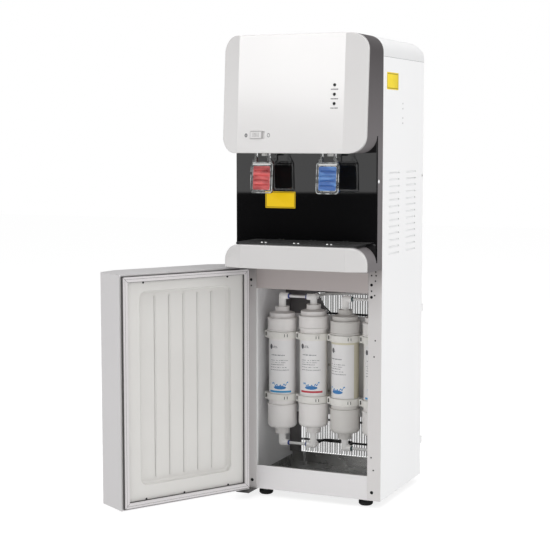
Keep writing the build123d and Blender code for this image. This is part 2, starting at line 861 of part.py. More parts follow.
# Taps: body with nozzle, lever with its pad, valve stem and pin
def tap_body(side):
    x = side * tap_side
    y = front - tap_reach
    seat = head_bottom + housing_wall
    flange = block(x - tap_flange_width / 2, x + tap_flange_width / 2, y - barrel_diameter * 0.6,
                   y + barrel_diameter * 0.9, seat, seat + tap_flange_thickness)
    slot = arm_inner - arm_slot_side
    flange -= block(x + slot, x + far, y - far, front - pivot_reach + arm_slot_back, seat - 1, seat + far)
    flange -= block(x - far, x - slot, y - far, front - pivot_reach + arm_slot_back, seat - 1, seat + far)
    barrel = rod(x, y, seat, barrel_diameter, barrel_top - seat, (0, 0, 1))
    spout = rod(x, y, nozzle_bottom, nozzle_diameter - 2 * pin_clearance, seat - nozzle_bottom, (0, 0, 1))
    ring = rod(x, y, nozzle_bottom, nozzle_ring_diameter, nozzle_ring_height, (0, 0, 1))
    port = rod(x, y, port_height, port_diameter, tap_reach - port_reach + port_diameter, (0, 1, 0))
    body = flange + barrel + spout + ring + port
    for edge in (-1, 1):
        inner, outer = sorted((x + edge * lug_inner, x + edge * (arm_inner - lug_gap)))
        lug = block(inner, outer, front - pivot_reach - eye_diameter / 2, y, pivot_height - lug_drop,
                    barrel_top)
        lug += block(inner, outer, front - pivot_reach - eye_diameter / 2,
                     front - pivot_reach + eye_diameter / 2,
                     pivot_height - lug_drop + lug_step, pivot_height + heel_top - sheet)
        body += lug
    body -= rod(x - far / 2, front - pivot_reach, pivot_height, lever_pin_diameter, far, (1, 0, 0))
    body -= rod(x, y, nozzle_bottom - 1, nozzle_bore, stem_foot - nozzle_bottom, (0, 0, 1))
    body -= rod(x, y, stem_foot - nozzle_ring_height / 2, stem_diameter + 2 * pin_clearance, far, (0, 0, 1))
    body -= rod(x, y, port_height, port_diameter - 3, far, (0, 1, 0))
    return body


def tap_bodies():
    return [tap_body(-1), tap_body(1)]


def lever_pins():
    pins = []
    for side in (-1, 1):
        x = side * tap_side
        half = arm_outer + lever_pin_diameter / 2
        pins.append(rod(x - half, front - pivot_reach, pivot_height, lever_pin_diameter, 2 * half, (1, 0, 0)))
    return pins


def paddle_frame(x):
    y = front - pivot_reach
    middle = (paddle_top + paddle_bottom) / 2
    outline = Plane.XZ * Pos(x, middle) * RectangleRounded(paddle_width, paddle_height, paddle_corner)
    frame = Pos(0, y + paddle_thickness / 2, 0) * extrude(outline, paddle_thickness)
    frame = fillet(frame.edges().group_by(Axis.Y)[0] + frame.edges().group_by(Axis.Y)[-1], paddle_edge)
    well = Plane.XZ * Pos(x, pad_centre) * RectangleRounded(pad_width, pad_height, pad_corner)
    frame -= Pos(0, y + paddle_thickness / 2 - pad_seat, 0) * extrude(well, paddle_thickness)
    return frame


def lean_axis():
    return Axis((0, front - pivot_reach, paddle_top), (1, 0, 0))


def shoulder(x, edge):
    """The curved ear that narrows from the paddle's side to one of the arms."""
    wide = x + edge * paddle_width / 2
    narrow = x + edge * arm_outer
    foot = paddle_top - paddle_corner
    top = paddle_top + shoulder_rise
    curve = Spline((wide, foot), (narrow, top), tangents=((0, 1), (0, 1)), tangent_scalars=(1, 1))
    rest = Polyline((narrow, top), (x + edge * arm_inner, top), (x + edge * arm_inner, foot), (wide, foot))
    outline = Plane.XZ * make_face(curve + rest)
    return Pos(0, front - pivot_reach + arm_thickness / 2, 0) * extrude(outline, arm_thickness)


def lever(side):
    x = side * tap_side
    y = front - pivot_reach
    body = paddle_frame(x).rotate(lean_axis(), -paddle_slant)
    for edge in (-1, 1):
        inner, outer = sorted((x + edge * arm_inner, x + edge * arm_outer))
        arm = block(inner, outer, y - arm_thickness / 2, y + arm_thickness / 2,
                    paddle_top - paddle_corner / 2,
                    pivot_height)
        arm += rod(inner, y, pivot_height, eye_diameter, outer - inner, (1, 0, 0))
        arm += block(inner, outer, y, y + heel_length, pivot_height - heel_top, pivot_height + heel_top)
        body += arm + shoulder(x, edge)
    hole = lever_pin_diameter + 2 * pin_clearance
    return body - rod(x - far / 2, y, pivot_height, hole, far, (1, 0, 0))


def lever_pad(side):
    x = side * tap_side
    y = front - pivot_reach
    outline = Plane.XZ * Pos(x, pad_centre) * RectangleRounded(pad_width, pad_height, pad_corner)
    back = y + paddle_thickness / 2 - pad_seat
    pad = Pos(0, back, 0) * extrude(outline, pad_thickness)
    face = back - pad_thickness
    spacing = pad_height / (pad_ribs + 1)
    for i in range(pad_ribs):
        level = pad_centre - pad_height / 2 + spacing * (i + 1)
        start = x - pad_width / 2 + pad_rib_inset
        pad -= rod(start, face, level, 2 * pad_rib_depth, pad_width - 2 * pad_rib_inset, (1, 0, 0))
    return pad.rotate(lean_axis(), -paddle_slant)


def valve_stem(side):
    x = side * tap_side
    y = front - tap_reach
    bar_low = pivot_height + heel_top + stem_bar_gap
    stem = rod(x, y, stem_foot, stem_diameter, bar_low + stem_bar - stem_foot, (0, 0, 1))
    bar = block(x - arm_outer, x + arm_outer, y - stem_bar / 2, y + stem_bar / 2, bar_low, bar_low + stem_bar)
    return stem + bar


# Door, modelled closed
def door_front_y():
    return front - door_inner_gap - door_edge_thickness


def swing(shape):
    """The closed door's piece, swung to where the door stands."""
    return shape.rotate(hinge_axis, -door_angle)


def door_prism(shift, back, inset):
    points = bow_points(half_width, door_bow, back, shift)
    column = plan_prism(points, door_front_y(), door_front_y(), door_bottom, door_top)
    return column & block(-half_width + inset, half_width - inset, front - far, front,
                          door_bottom + inset, door_top - inset)


def door_shell():
    outside = door_prism(0, door_edge_thickness, 0)
    faces = outside.faces().filter_by(lambda face: face.normal_at().Y < -0.5)
    outside = fillet(outer_edges(faces), door_edge)
    shell = outside - door_prism(door_wall, door_edge_thickness + 1, door_wall)
    for z_low, z_high in ((door_bottom, door_bottom + hinge_boss_height),
                          (door_top - hinge_boss_height, door_top)):
        shell += block(-half_width + door_wall / 2, hinge_x + hinge_boss_half_width,
                       hinge_y - hinge_boss_half_width,
                       hinge_y + hinge_boss_half_width, z_low, z_high)
    bore = hinge_pin_diameter + 2 * pin_clearance
    for z_low in (door_bottom - 1, door_top - hinge_boss_height + 2):
        shell -= rod(hinge_x, hinge_y, z_low, bore, hinge_boss_height - 1, (0, 0, 1))
    return swing(shell)


def liner_outline(half, z_low, z_high, radius):
    face = Plane.XZ * Pos(0, (z_low + z_high) / 2) * RectangleRounded(2 * half, z_high - z_low, radius)
    return face


def door_liner():
    rim = half_width - door_wall - liner_clearance
    plate = block(-rim, rim, door_inner - liner_wall, door_inner, door_bottom + door_wall + liner_clearance,
                  door_top - door_wall - liner_clearance)
    well = slab(liner_outline(recess_half_width + liner_wall, recess_bottom - liner_wall,
                              recess_top + liner_wall, recess_corner + liner_wall),
                door_inner - recess_depth - liner_wall, door_inner)
    hollow = slab(liner_outline(recess_half_width, recess_bottom, recess_top, recess_corner),
                  door_inner - recess_depth, door_inner + 1)
    hollow = chamfer(hollow.edges().group_by(Axis.Y)[0], recess_depth / 3)
    liner = plate + well - hollow
    floor_y = door_inner - recess_depth
    for i in range(rib_count):
        x = rib_pitch * (i - (rib_count - 1) / 2)
        if abs(x) < recess_half_width - rib_width - recess_depth / 3:
            liner += block(x - rib_width / 2, x + rib_width / 2, floor_y - liner_wall / 2,
                           floor_y + rib_height,
                           recess_bottom + rib_margin, recess_top - rib_margin)
    return swing(liner)


def door_gasket():
    outer_half = half_width - gasket_edge_gap
    z_low = door_bottom + gasket_edge_gap
    z_high = door_top - gasket_edge_gap
    y_high = front - gasket_rest_gap
    ring = block(-outer_half, outer_half, door_inner, y_high, z_low, z_high)
    ring -= block(-outer_half + gasket_width, outer_half - gasket_width, door_inner - 1, front,
                  z_low + gasket_width, z_high - gasket_width)
    groove = gasket_width / 4
    ring -= (block(-outer_half - 1, outer_half + 1, door_inner + gasket_root, door_inner + 2.5 * gasket_root,
                   z_low - 1, z_high + 1)
             - block(-outer_half + groove, outer_half - groove, door_inner, front, z_low + groove,
                     z_high - groove))
    return swing(ring)


def hinge_brackets():
    pin_length = hinge_boss_height - 4
    low_plate = block(-half_width, -half_width + bracket_width, front - bracket_front, front + bracket_back,
                      floor_gap - bracket_thickness, floor_gap)
    low_pin = rod(hinge_x, hinge_y, floor_gap, hinge_pin_diameter, door_bottom - floor_gap + pin_length,
                  (0, 0, 1))
    low_pin += rod(hinge_x, hinge_y, floor_gap, hinge_collar_diameter, door_bottom - floor_gap - hinge_gap,
                   (0, 0, 1))
    high_plate = block(-half_width, -half_width + bracket_width, front - bracket_front, front, deck_height,
                       deck_height + bracket_thickness)
    high_pin = rod(hinge_x, hinge_y, deck_height, hinge_pin_diameter, deck_height - door_top + pin_length,
                   (0, 0, -1))
    return [low_plate, low_pin, high_plate, high_pin]


# Filter bay
def profile_solid(points):
    """A solid of revolution about the Z axis from (radius, height) points."""
    outline = Polyline((0, points[0][1]), *points, (0, points[-1][1]), close=True)
    return revolve(Plane.XZ * make_face(outline), Axis.Z)


def filter_cartridge(index):
    body = filter_diameter / 2
    cap = filter_cap_diameter / 2
    shoulder = filter_shoulder_diameter / 2
    neck = filter_neck_diameter / 2
    taper = cap - shoulder
    points = [
        (neck, filter_neck_bottom),
        (neck, filter_cap_bottom),
        (shoulder - taper, filter_cap_bottom),
        (cap, filter_cap_bottom + 3 * taper),
        (cap, filter_body_bottom),
        (body, filter_body_bottom),
        (body, filter_body_top),
        (cap, filter_body_top),
        (cap, filter_cap_top),
        (shoulder, filter_cap_top),
        (shoulder, filter_shoulder_top),
        (neck, filter_shoulder_top + taper),
        (neck, filter_neck_top),
    ]
    return Pos(filter_xs[index], filter_y, filter_lifts[index]) * profile_solid(points)


def filter_clips():
    clips = []
    inner = filter_diameter / 2
    outer = clip_outer_diameter / 2
    for x in filter_xs:
        for level in (lower_clip_height, upper_clip_height):
            ring = Pos(x, filter_y, level) * Cylinder(outer, clip_height)
            foot = block(x - outer / 2, x + outer / 2, filter_y, plate_y, level - clip_height / 2,
                         level + clip_height / 2)
            ear = block(x - outer - clip_ear_width / 3, x - outer + clip_ear_width, filter_y - clip_ear_depth,
                        filter_y, level - clip_height / 2, level + clip_height / 2)
            ear -= block(x - far, x + far, filter_y - clip_ear_depth / 2 - clip_slot / 2,
                         filter_y - clip_ear_depth / 2 + clip_slot / 2, level - clip_height / 3,
                         level + clip_height / 3)
            bore = Pos(x, filter_y, level) * Cylinder(inner, 2 * clip_height)
            clips.append(ring + foot + ear - bore)
    return clips


def filter_plate():
    plate = block(-inner_half, inner_half, plate_y, plate_y + filter_plate_sheet, filter_plate_bottom,
                  filter_plate_top)
    for side in (-1, 1):
        edge = sorted((side * inner_half, side * (inner_half - filter_plate_sheet)))
        plate += block(edge[0], edge[1], plate_y, plate_y + filter_plate_lip, filter_plate_bottom,
                       filter_plate_top)
    return plate


def fitting(index, at_top):
    """Push-in elbow or tee: a stem on the filter's neck and a branch towards its neighbour."""
    x = filter_xs[index]
    toward = 1 if index % 2 == 0 else -1
    line = top_line_height if at_top else bottom_line_height
    neck = (filter_neck_top if at_top else filter_neck_bottom) + filter_lifts[index]
    stem_start = min(line, neck)
    stem = rod(x, filter_y, stem_start, stem_fitting_diameter, abs(neck - line), (0, 0, 1))
    branch = rod(x, filter_y, line, fitting_diameter, elbow_reach, (toward, 0, 0))
    knuckle = Pos(x, filter_y, line) * Sphere(stem_fitting_diameter / 2)
    body = stem + branch + knuckle
    if has_rear_port(index, at_top):
        body += rod(x, filter_y, line, fitting_diameter, elbow_reach, (0, 1, 0))
    return body


def has_rear_port(index, at_top):
    return (index, at_top) in ((1, True), (1, False), (2, False), (3, True))


def filter_fittings():
    return [fitting(i, at_top) for i in range(filter_count) for at_top in (True, False)]


def fitting_collets():
    collets = []
    for i in range(filter_count):
        toward = 1 if i % 2 == 0 else -1
        for at_top in (True, False):
            line = top_line_height if at_top else bottom_line_height
            ring = rod(filter_xs[i] + toward * elbow_reach, filter_y, line, collet_diameter, collet_length,
                       (toward, 0, 0))
            ring -= rod(filter_xs[i], filter_y, line, tube_diameter, far / 10, (toward, 0, 0))
            collets.append(ring)
            if has_rear_port(i, at_top):
                ring = rod(filter_xs[i], filter_y + elbow_reach, line, collet_diameter, collet_length,
                           (0, 1, 0))
                ring -= rod(filter_xs[i], filter_y, line, tube_diameter, far / 10, (0, 1, 0))
                collets.append(ring)
    return collets


def valve_x():
    return water_inlet_side


def valve_y():
    return rear - 2 * sheet - union_length - valve_gap


def tube_pass_y():
    return valve_y() - valve_depth / 4


def product_tube_x():
    return filter_xs[3]


def product_tube_y():
    return plate_y + lip_fold + tube_diameter


def water_tubes():
    tubes = []
    for left in (0, 2):
        for line in (top_line_height, bottom_line_height):
            tubes.append(rod(filter_xs[left] + elbow_reach, filter_y, line, tube_diameter,
                             filter_pitch - 2 * elbow_reach, (1, 0, 0)))
    port_y = filter_y + elbow_reach
    supply = [(filter_xs[1], port_y, top_line_height), (filter_xs[1], plate_y + supply_gap, top_line_height),
              (filter_xs[1] + supply_run, tube_pass_y(), top_line_height),
              (valve_x() - supply_approach, tube_pass_y(), top_line_height),
              (valve_x(), tube_pass_y(), top_line_height + supply_riser),
              (valve_x(), tube_pass_y(), deck_height)]
    tubes.append(tube_along(supply, tube_diameter, supply_bend))
    low_y = plate_y + cross_gap
    cross = [(filter_xs[1], port_y, bottom_line_height), (filter_xs[1], low_y, bottom_line_height),
             (filter_xs[2], low_y, bottom_line_height), (filter_xs[2], port_y, bottom_line_height)]
    tubes.append(tube_along(cross, tube_diameter, cross_bend))
    product_x = product_tube_x()
    product = [(product_x, port_y, top_line_height), (product_x, plate_y - product_gap, top_line_height),
               (product_x, product_tube_y(), top_line_height + product_riser),
               (product_x, product_tube_y(), shelf_height)]
    tubes.append(tube_along(product, tube_diameter, product_bend))
    return tubes + tap_hoses()


# Levelling foot
def levelling_foot(x, y):
    pad = rod(x, y, 0, foot_diameter, foot_height, (0, 0, 1))
    pad = chamfer(pad.edges().group_by(Axis.Z)[0], foot_height / 3)
    neck = hexagon(x, y, foot_height, foot_hex, floor_gap - foot_height)
    stud = rod(x, y, floor_gap, foot_stud_diameter, foot_stud_top - floor_gap, (0, 0, 1))
    return pad + neck + stud


# Cold side
def condenser():
    """Steel tube bent to and fro, four arms that hold its bends, and wires welded to its front and rear."""
    points = []
    for row in range(condenser_rows):
        level = condenser_row_height(row)
        ends = [(-condenser_half_width, condenser_y, level), (condenser_half_width, condenser_y, level)]
        points += ends if row % 2 == 0 else ends[::-1]
    first = (coil_end_x(), condenser_y, points[0][2])
    last = (coil_end_x(), condenser_y, points[-1][2])
    coil = tube_along([first, *points[1:-1], last], condenser_tube, condenser_bend)
    solids = [coil]
    for side, row in ((1, 0), (1, condenser_rows - 2), (-1, 1), (-1, condenser_rows - 3)):
        level = (condenser_row_height(row) + condenser_row_height(row + 1)) / 2
        z_low = level - bracket_arm_height / 2
        z_high = level + bracket_arm_height / 2
        x_low, x_high = sorted((side * condenser_half_width, side * (half_width - sheet)))
        arm = block(x_low, x_high, condenser_y - bracket_arm / 2, condenser_y + bracket_arm / 2, z_low,
                    z_high)
        x_low, x_high = sorted((side * (half_width - rear_flange_width + sheet), side * (half_width - sheet)))
        arm += block(x_low, x_high, rear, condenser_y, z_low, z_high)
        solids.append(arm - coil)
    near = condenser_y - condenser_tube / 2 - wire_size
    wide = condenser_y + condenser_tube / 2
    for i in range(wire_count):
        x = wire_pitch * (i - (wire_count - 1) / 2)
        y_low = near if i % 2 == 0 else wide
        solids.append(block(x - wire_size / 2, x + wire_size / 2, y_low, y_low + wire_size, wire_bottom,
                            wire_top))
    return solids


def condenser_row_height(row):
    """Height of a tube of the condenser, counted from the top."""
    return condenser_low_row + (condenser_rows - 1 - row) * condenser_pitch


def coil_end_x():
    return -condenser_half_width + coil_end_inset


def compressor():
    radius = compressor_diameter / 2
    low = deck_height + compressor_foot_height
    seam_z = low + compressor_height * compressor_seam_share
    dome = compressor_height * compressor_dome_share
    points = [(radius * 0.55, low), (radius * 0.88, low + dome * 0.4), (radius, low + dome),
              (radius, seam_z - compressor_seam_height),
              (radius + compressor_seam_reach, seam_z - compressor_seam_height),
              (radius + compressor_seam_reach, seam_z), (radius, seam_z),
              (radius, low + compressor_height - dome),
              (radius * 0.86, low + compressor_height - dome * 0.35),
              (radius * 0.5, low + compressor_height)]
    pot = Pos(compressor_side, front + compressor_set_back, 0) * profile_solid(points)
    y = front + compressor_set_back
    half = compressor_foot_span / 2
    base = block(compressor_side - half, compressor_side + half, y - half * 0.8, y + half * 0.8, low - 1,
                 low - 1 + compressor_foot_sheet)
    relay = block(compressor_side + radius - relay_grip, compressor_side + radius + relay_depth,
                  y - relay_width / 2,
                  y + relay_width / 2, low + relay_rise, low + relay_rise + relay_height)
    unit = pot + base + relay
    for gx, gy in grommet_places():
        unit -= rod(gx, gy, low - 2, grommet_diameter * grommet_bore_share, compressor_foot_sheet + 3,
                    (0, 0, 1))
    return unit


def grommet_places():
    y = front + compressor_set_back
    half = compressor_foot_span / 2 - grommet_diameter * grommet_bore_share
    return [(compressor_side + i * half, y + k * half * 0.78) for i in (-1, 1) for k in (-1, 1)]


def compressor_grommets():
    low = deck_height + compressor_foot_height - 1
    grommets = []
    for x, y in grommet_places():
        body = rod(x, y, deck_height, grommet_diameter, low - deck_height, (0, 0, 1))
        body += rod(x, y, low, grommet_diameter * grommet_bore_share, compressor_foot_sheet + 3, (0, 0, 1))
        grommets.append(body)
    return grommets


def drum(x, diameter, height, inset=0.0):
    """A tank's closed drum with rounded ends, or the space inside it."""
    low = shelf_height + sheet + jacket_floor + inset
    shell = rod(x, tank_y, low, diameter - 2 * inset, height - 2 * inset, (0, 0, 1))
    shell = fillet(shell.edges().group_by(Axis.Z)[-1], diameter / 8 - inset)
    return fillet(shell.edges().group_by(Axis.Z)[0], diameter / 12 - inset)


def tap_port(side, diameter):
    return rod(side * tap_side, tank_y, port_height, diameter, tank_y - front - lip_fold, (0, -1, 0))


def drain_pipe(diameter):
    return rod(drain_side, tank_y, drain_height, diameter, rear - 2 * sheet - tank_y, (0, 1, 0))


def cold_tank_body():
    return drum(cold_tank_side, cold_tank_diameter, cold_tank_height) + tap_port(1, port_diameter)


def hot_tank_body():
    body = drum(hot_tank_side, hot_tank_diameter, hot_tank_height) + tap_port(-1, port_diameter)
    return body + drain_pipe(drain_diameter - 2 * drain_wall)


def cold_tank():
    space = drum(cold_tank_side, cold_tank_diameter, cold_tank_height, tank_wall)
    return cold_tank_body() - space - tap_port(1, port_diameter - 2 * tank_wall)


def hot_tank():
    space = drum(hot_tank_side, hot_tank_diameter, hot_tank_height, tank_wall)
    bores = tap_port(-1, port_diameter - 2 * tank_wall)
    bores += drain_pipe(drain_diameter - 2 * drain_wall - 2 * tank_wall)
    return hot_tank_body() - space - bores


def jacket(x, diameter, height, wall, inner):
    low = shelf_height + sheet
    outer = rod(x, tank_y, low, diameter + 2 * wall, height + 2 * jacket_floor, (0, 0, 1))
    return outer - inner


def tank_insulation():
    hot = jacket(hot_tank_side, hot_tank_diameter, hot_tank_height, hot_jacket, hot_tank_body())
    for x, y in thermostat_places():
        hot -= rod(x, y, thermostat_base(), thermostat_diameter, far, (0, 0, 1))
    return [hot, jacket(cold_tank_side, cold_tank_diameter, cold_tank_height, cold_jacket, cold_tank_body())]


def thermostat_base():
    return shelf_height + sheet + jacket_floor + hot_tank_height


def thermostat_places():
    return [(hot_tank_side - thermostat_diameter, tank_y), (hot_tank_side + thermostat_diameter, tank_y)]


def thermostats():
    return [rod(x, y, thermostat_base(), thermostat_diameter, thermostat_height, (0, 0, 1))
            for x, y in thermostat_places()]


def tap_hoses():
    """Soft hoses pushed over the ports of the taps and of the tanks."""
    hoses = []
    y_start = front - port_reach + 1
    y_end = front + lip_fold + hose_grip
    for side in (-1, 1):
        hose = rod(side * tap_side, y_start, port_height, hose_diameter, y_end - y_start, (0, 1, 0))
        hose -= rod(side * tap_side, y_start - 1, port_height, port_diameter, far, (0, 1, 0))
        hoses.append(hose)
    return hoses


def refrigerant_lines():
    """Discharge line, suction line, liquid line with its filter drier, and the capillary to the cold tank."""
    y = front + compressor_set_back
    gap_y = rear - line_clearance
    side_x = -line_side
    exit_x = compressor_side - compressor_diameter / 2
    exit_z = deck_height + compressor_foot_height + compressor_height / 3
    top_row = condenser_row_height(0)
    low_row = condenser_row_height(condenser_rows - 1)
    compressor_top = deck_height + compressor_foot_height + compressor_height
    discharge = [(exit_x, y, exit_z), (side_x, y, exit_z), (side_x, gap_y, exit_z - discharge_fall),
                 (side_x, gap_y, top_row),
                 (side_x, condenser_y, top_row), (coil_end_x(), condenser_y, top_row)]
    lift = compressor_top + line_rise
    suction = [(compressor_side + line_offset, y, compressor_top), (compressor_side + line_offset, y, lift),
               (cold_tank_side, y, lift), (cold_tank_side, y, shelf_height)]
    liquid = [(coil_end_x(), condenser_y, low_row), (side_x, condenser_y, low_row), (side_x, gap_y, low_row),
              (side_x, gap_y, drier_bottom - drier_lead), (drier_side, gap_y, drier_bottom - drier_entry),
              (drier_side, gap_y, drier_bottom)]
    drier_top = drier_bottom + drier_length
    last_side = drier_side - capillary_loop[-1][0]
    tank_side = cold_tank_side - capillary_offset
    capillary = [(drier_side - away, gap_y, drier_top + up) for away, up in capillary_loop]
    capillary += [(last_side, gap_y, shelf_height - line_rise), (tank_side, gap_y, shelf_height - line_rise),
                  (tank_side, y, shelf_height - line_rise), (tank_side, y, shelf_height)]
    drier = rod(drier_side, gap_y, drier_bottom, drier_diameter, drier_length, (0, 0, 1))
    drier = fillet(drier.edges(), drier_diameter / 4)
    wide = line_bend
    tight = line_bend / 2
    return [tube_along(discharge, line_diameter - 1, [wide, wide, wide, tight]),
            tube_along(suction, line_diameter, wide),
            tube_along(liquid, line_diameter - 1, [tight, wide, wide, wide]),
            drier, tube_along(capillary, capillary_diameter, tight)]


# Electrical and water services
def switch_xs():
    return (inlet_side - switch_pitch / 2, inlet_side + switch_pitch / 2)


def power_box():
    y = front + box_set_back
    box = block(box_side - box_width / 2, box_side + box_width / 2, y - box_depth / 2, y + box_depth / 2,
                deck_height, deck_height + box_height)
    box = fillet(box.edges().filter_by(Axis.Z), box_corner)
    return box - block(box_side - box_width / 2 + box_wall, box_side + box_width / 2 - box_wall,
                       y - box_depth / 2 + box_wall, y + box_depth / 2 - box_wall, deck_height - 1,
                       deck_height + box_height - box_wall)


def mains_inlet():
    flange = block(inlet_side - inlet_width / 2, inlet_side + inlet_width / 2, rear - sheet,
                   rear - sheet + inlet_flange,
                   inlet_height - inlet_flange_height / 2, inlet_height + inlet_flange_height / 2)
    half = inlet_width / 2 - inlet_flange
    body = block(inlet_side - half, inlet_side + half, rear - 2 * sheet - inlet_body_depth, rear - sheet,
                 inlet_height - inlet_flange_height / 2 + inlet_flange,
                 inlet_height + inlet_flange_height / 2 - inlet_flange)
    mouth_half = half - inlet_mouth_inset
    mouth_back = rear - inlet_body_depth + inlet_pin_gap
    mouth = block(inlet_side - mouth_half, inlet_side + mouth_half, mouth_back, rear + far,
                  inlet_height - inlet_mouth_height / 2, inlet_height + inlet_mouth_height / 2)
    pins = []
    for step in (-1, 0, 1):
        x = inlet_side + step * inlet_pin_pitch
        pins.append(block(x - inlet_pin_width / 2, x + inlet_pin_width / 2, mouth_back, rear - inlet_pin_gap,
                          inlet_height - inlet_pin_height / 2, inlet_height + inlet_pin_height / 2))
    return flange + body - mouth + pins


def rocker_switch(x):
    """A rocker with a shallow V face, tipped on its two pivot studs so that its lower half stands out."""
    axis_y = rear - switch_depth / 2
    tall = switch_tall / 2
    points = [(axis_y - switch_depth / 2, -tall * 0.7), (axis_y - switch_depth / 2, tall * 0.7),
              (axis_y + switch_depth / 2 + switch_dish, tall), (axis_y + switch_depth / 2, 0),
              (axis_y + switch_depth / 2 + switch_dish, -tall)]
    side = Plane(origin=(x - switch_width / 2, 0, switch_height), x_dir=(0, 1, 0), z_dir=(1, 0, 0))
    rocker = extrude(side * make_face(Polyline(*points, close=True)), switch_width)
    studs = rod(x - switch_width / 2 - switch_stud_length, axis_y, switch_height, switch_stud,
                switch_width + 2 * switch_stud_length, (1, 0, 0))
    return (rocker + studs).rotate(Axis((0, axis_y, switch_height), (1, 0, 0)), switch_tilt)


def switch_housings():
    housings = []
    axis_y = rear - switch_depth / 2
    back = rear - 2 * sheet - switch_housing_depth
    for x in switch_xs():
        half = switch_width / 2 + switch_bezel
        tall = switch_tall / 2 + switch_bezel
        outer = block(x - half, x + half, back, rear - sheet, switch_height - tall, switch_height + tall)
        rim = block(x - half - 1.5, x + half + 1.5, rear - sheet, rear + 0.5, switch_height - tall - 1.5,
                    switch_height + tall + 1.5)
        well = block(x - switch_width / 2 - switch_gap, x + switch_width / 2 + switch_gap, back + 2,
                     rear + far,
                     switch_height - switch_tall / 2 - 4 * switch_gap,
                     switch_height + switch_tall / 2 + 4 * switch_gap)
        studs = rod(x - half + switch_gap, axis_y, switch_height, switch_stud + 2 * pin_clearance,
                    2 * (half - switch_gap), (1, 0, 0))
        housings.append(outer + rim - well - studs)
    return housings


def water_inlet():
    start = rear - 2 * sheet - union_length / 2
    union = rod(water_inlet_side, start, water_inlet_height, union_diameter, union_length, (0, 1, 0))
    nut = Plane(origin=(water_inlet_side, rear - sheet, water_inlet_height), z_dir=(0, 1, 0)) * extrude(
        RegularPolygon(union_hex / 2, 6, major_radius=False), 5)
    bore_radius = tube_diameter / 2 + union_bore_clearance
    mouth_y = start + union_length
    bore = rod(water_inlet_side, mouth_y - union_bore_depth, water_inlet_height, 2 * bore_radius,
               union_bore_depth + 1, (0, 1, 0))
    return union + nut - bore


def solenoid_valve():
    x = valve_x()
    y = valve_y()
    start = rear - 2 * sheet - union_length / 2
    body = block(x - valve_width / 2, x + valve_width / 2, y - valve_depth / 2, y + valve_depth / 2,
                 deck_height,
                 water_inlet_height + valve_body_rise)
    coil = rod(x, y, water_inlet_height + valve_body_rise, valve_width - 2 * coil_step, coil_height,
               (0, 0, 1))
    link = rod(x, y + valve_depth / 2, water_inlet_height, valve_link_diameter, start - y - valve_depth / 2,
               (0, 1, 0))
    return body + coil + link


def drain_outlet():
    pipe = rod(drain_side, rear - 2 * sheet, drain_height, drain_diameter, drain_length, (0, 1, 0))
    collar = rod(drain_side, rear - sheet, drain_height, drain_diameter + 6, 3, (0, 1, 0))
    return pipe + collar - rod(drain_side, rear - far / 10, drain_height, drain_diameter - 2 * drain_wall,
                               far, (0, 1, 0))


def drain_cap():
    start = rear - sheet + 3 + 0.3
    length = drain_length - sheet - 3 + drain_cap_wall
    cap = rod(drain_side, start, drain_height, drain_cap_diameter, length, (0, 1, 0))
    cap -= rod(drain_side, start - 1, drain_height, drain_diameter + 2 * pin_clearance,
               length - drain_cap_wall + 1,
               (0, 1, 0))
    return cap


def panel_screws():
    """Pan-head screws of the front flanges and the white plug in the side of the front frame."""
    screws = []
    for side in (-1, 1):
        x = side * (half_width - flange_screw_inset)
        level = flange_screw_height
        head = rod(x, front - screw_head_height, level, screw_head, screw_head_height, (0, 1, 0))
        head = fillet(head.edges().group_by(Axis.Y)[0], screw_head_height * 0.6)
        screws.append(head + rod(x, front, level, screw_shank - 0.02, screw_length, (0, 1, 0)))
    plug = rod(half_width - frame_wall - 1, front - frame_depth * 0.8, plug_height(), screw_head,
               frame_wall + 1.5,
               (1, 0, 0))
    screws.append(plug)
    return screws


def mirrored(shape):
    return mirror(shape, about=Plane.YZ)


def nodes():
    made = {
        "base_pan": base_pan(),
        "left_side_panel": mirrored(side_panel(left_pilot_holes)),
        "right_side_panel": side_panel(right_pilot_holes),
        "top_cover": top_cover(),
        "rear_panel": rear_panel(),
        "mid_deck": mid_deck(),
        "tank_shelf": tank_shelf(),
        "front_frame": front_frame(),
        "dispensing_panel": dispensing_panel(),
        "head_housing": head_housing(),
        "head_facia": head_facia(),
        "indicator_lenses": indicator_lenses(),
        "display_board": display_board(),
        "child_lock_slider": child_lock_slider(),
        "tray_housing": tray_housing(),
        "tray_facia": tray_facia(),
        "drip_tray": drip_tray(),
        "drip_grille": drip_grille(),
        "tap_bodies": tap_bodies(),
        "lever_pins": lever_pins(),
        "hot_lever": lever(-1),
        "hot_lever_pad": lever_pad(-1),
        "hot_valve_stem": valve_stem(-1),
        "cold_lever": lever(1),
        "cold_lever_pad": lever_pad(1),
        "cold_valve_stem": valve_stem(1),
        "door_shell": door_shell(),
        "door_liner": door_liner(),
        "door_gasket": door_gasket(),
        "hinge_brackets": hinge_brackets(),
        "filter_plate": filter_plate(),
        "filter_clips": filter_clips(),
        "filter_fittings": filter_fittings(),
        "fitting_collets": fitting_collets(),
        "water_tubes": water_tubes(),
        "condenser": condenser(),
        "compressor": compressor(),
        "compressor_grommets": compressor_grommets(),
        "refrigerant_lines": refrigerant_lines(),
        "cold_tank": cold_tank(),
        "hot_tank": hot_tank(),
        "tank_insulation": tank_insulation(),
        "thermostats": thermostats(),
        "power_box": power_box(),
        "mains_inlet": [mains_inlet(), *switch_housings()],
        "hot_switch": rocker_switch(switch_xs()[0]),
        "cold_switch": rocker_switch(switch_xs()[1]),
        "water_inlet": water_inlet(),
        "solenoid_valve": solenoid_valve(),
        "drain_outlet": drain_outlet(),
        "drain_cap": drain_cap(),
        "panel_screws": panel_screws(),
    }
    for index in range(filter_count):
        made[f"filter_cartridge_{index + 1}"] = filter_cartridge(index)
    for name, (x, y) in foot_places.items():
        made[name] = levelling_foot(x, y)
    return made


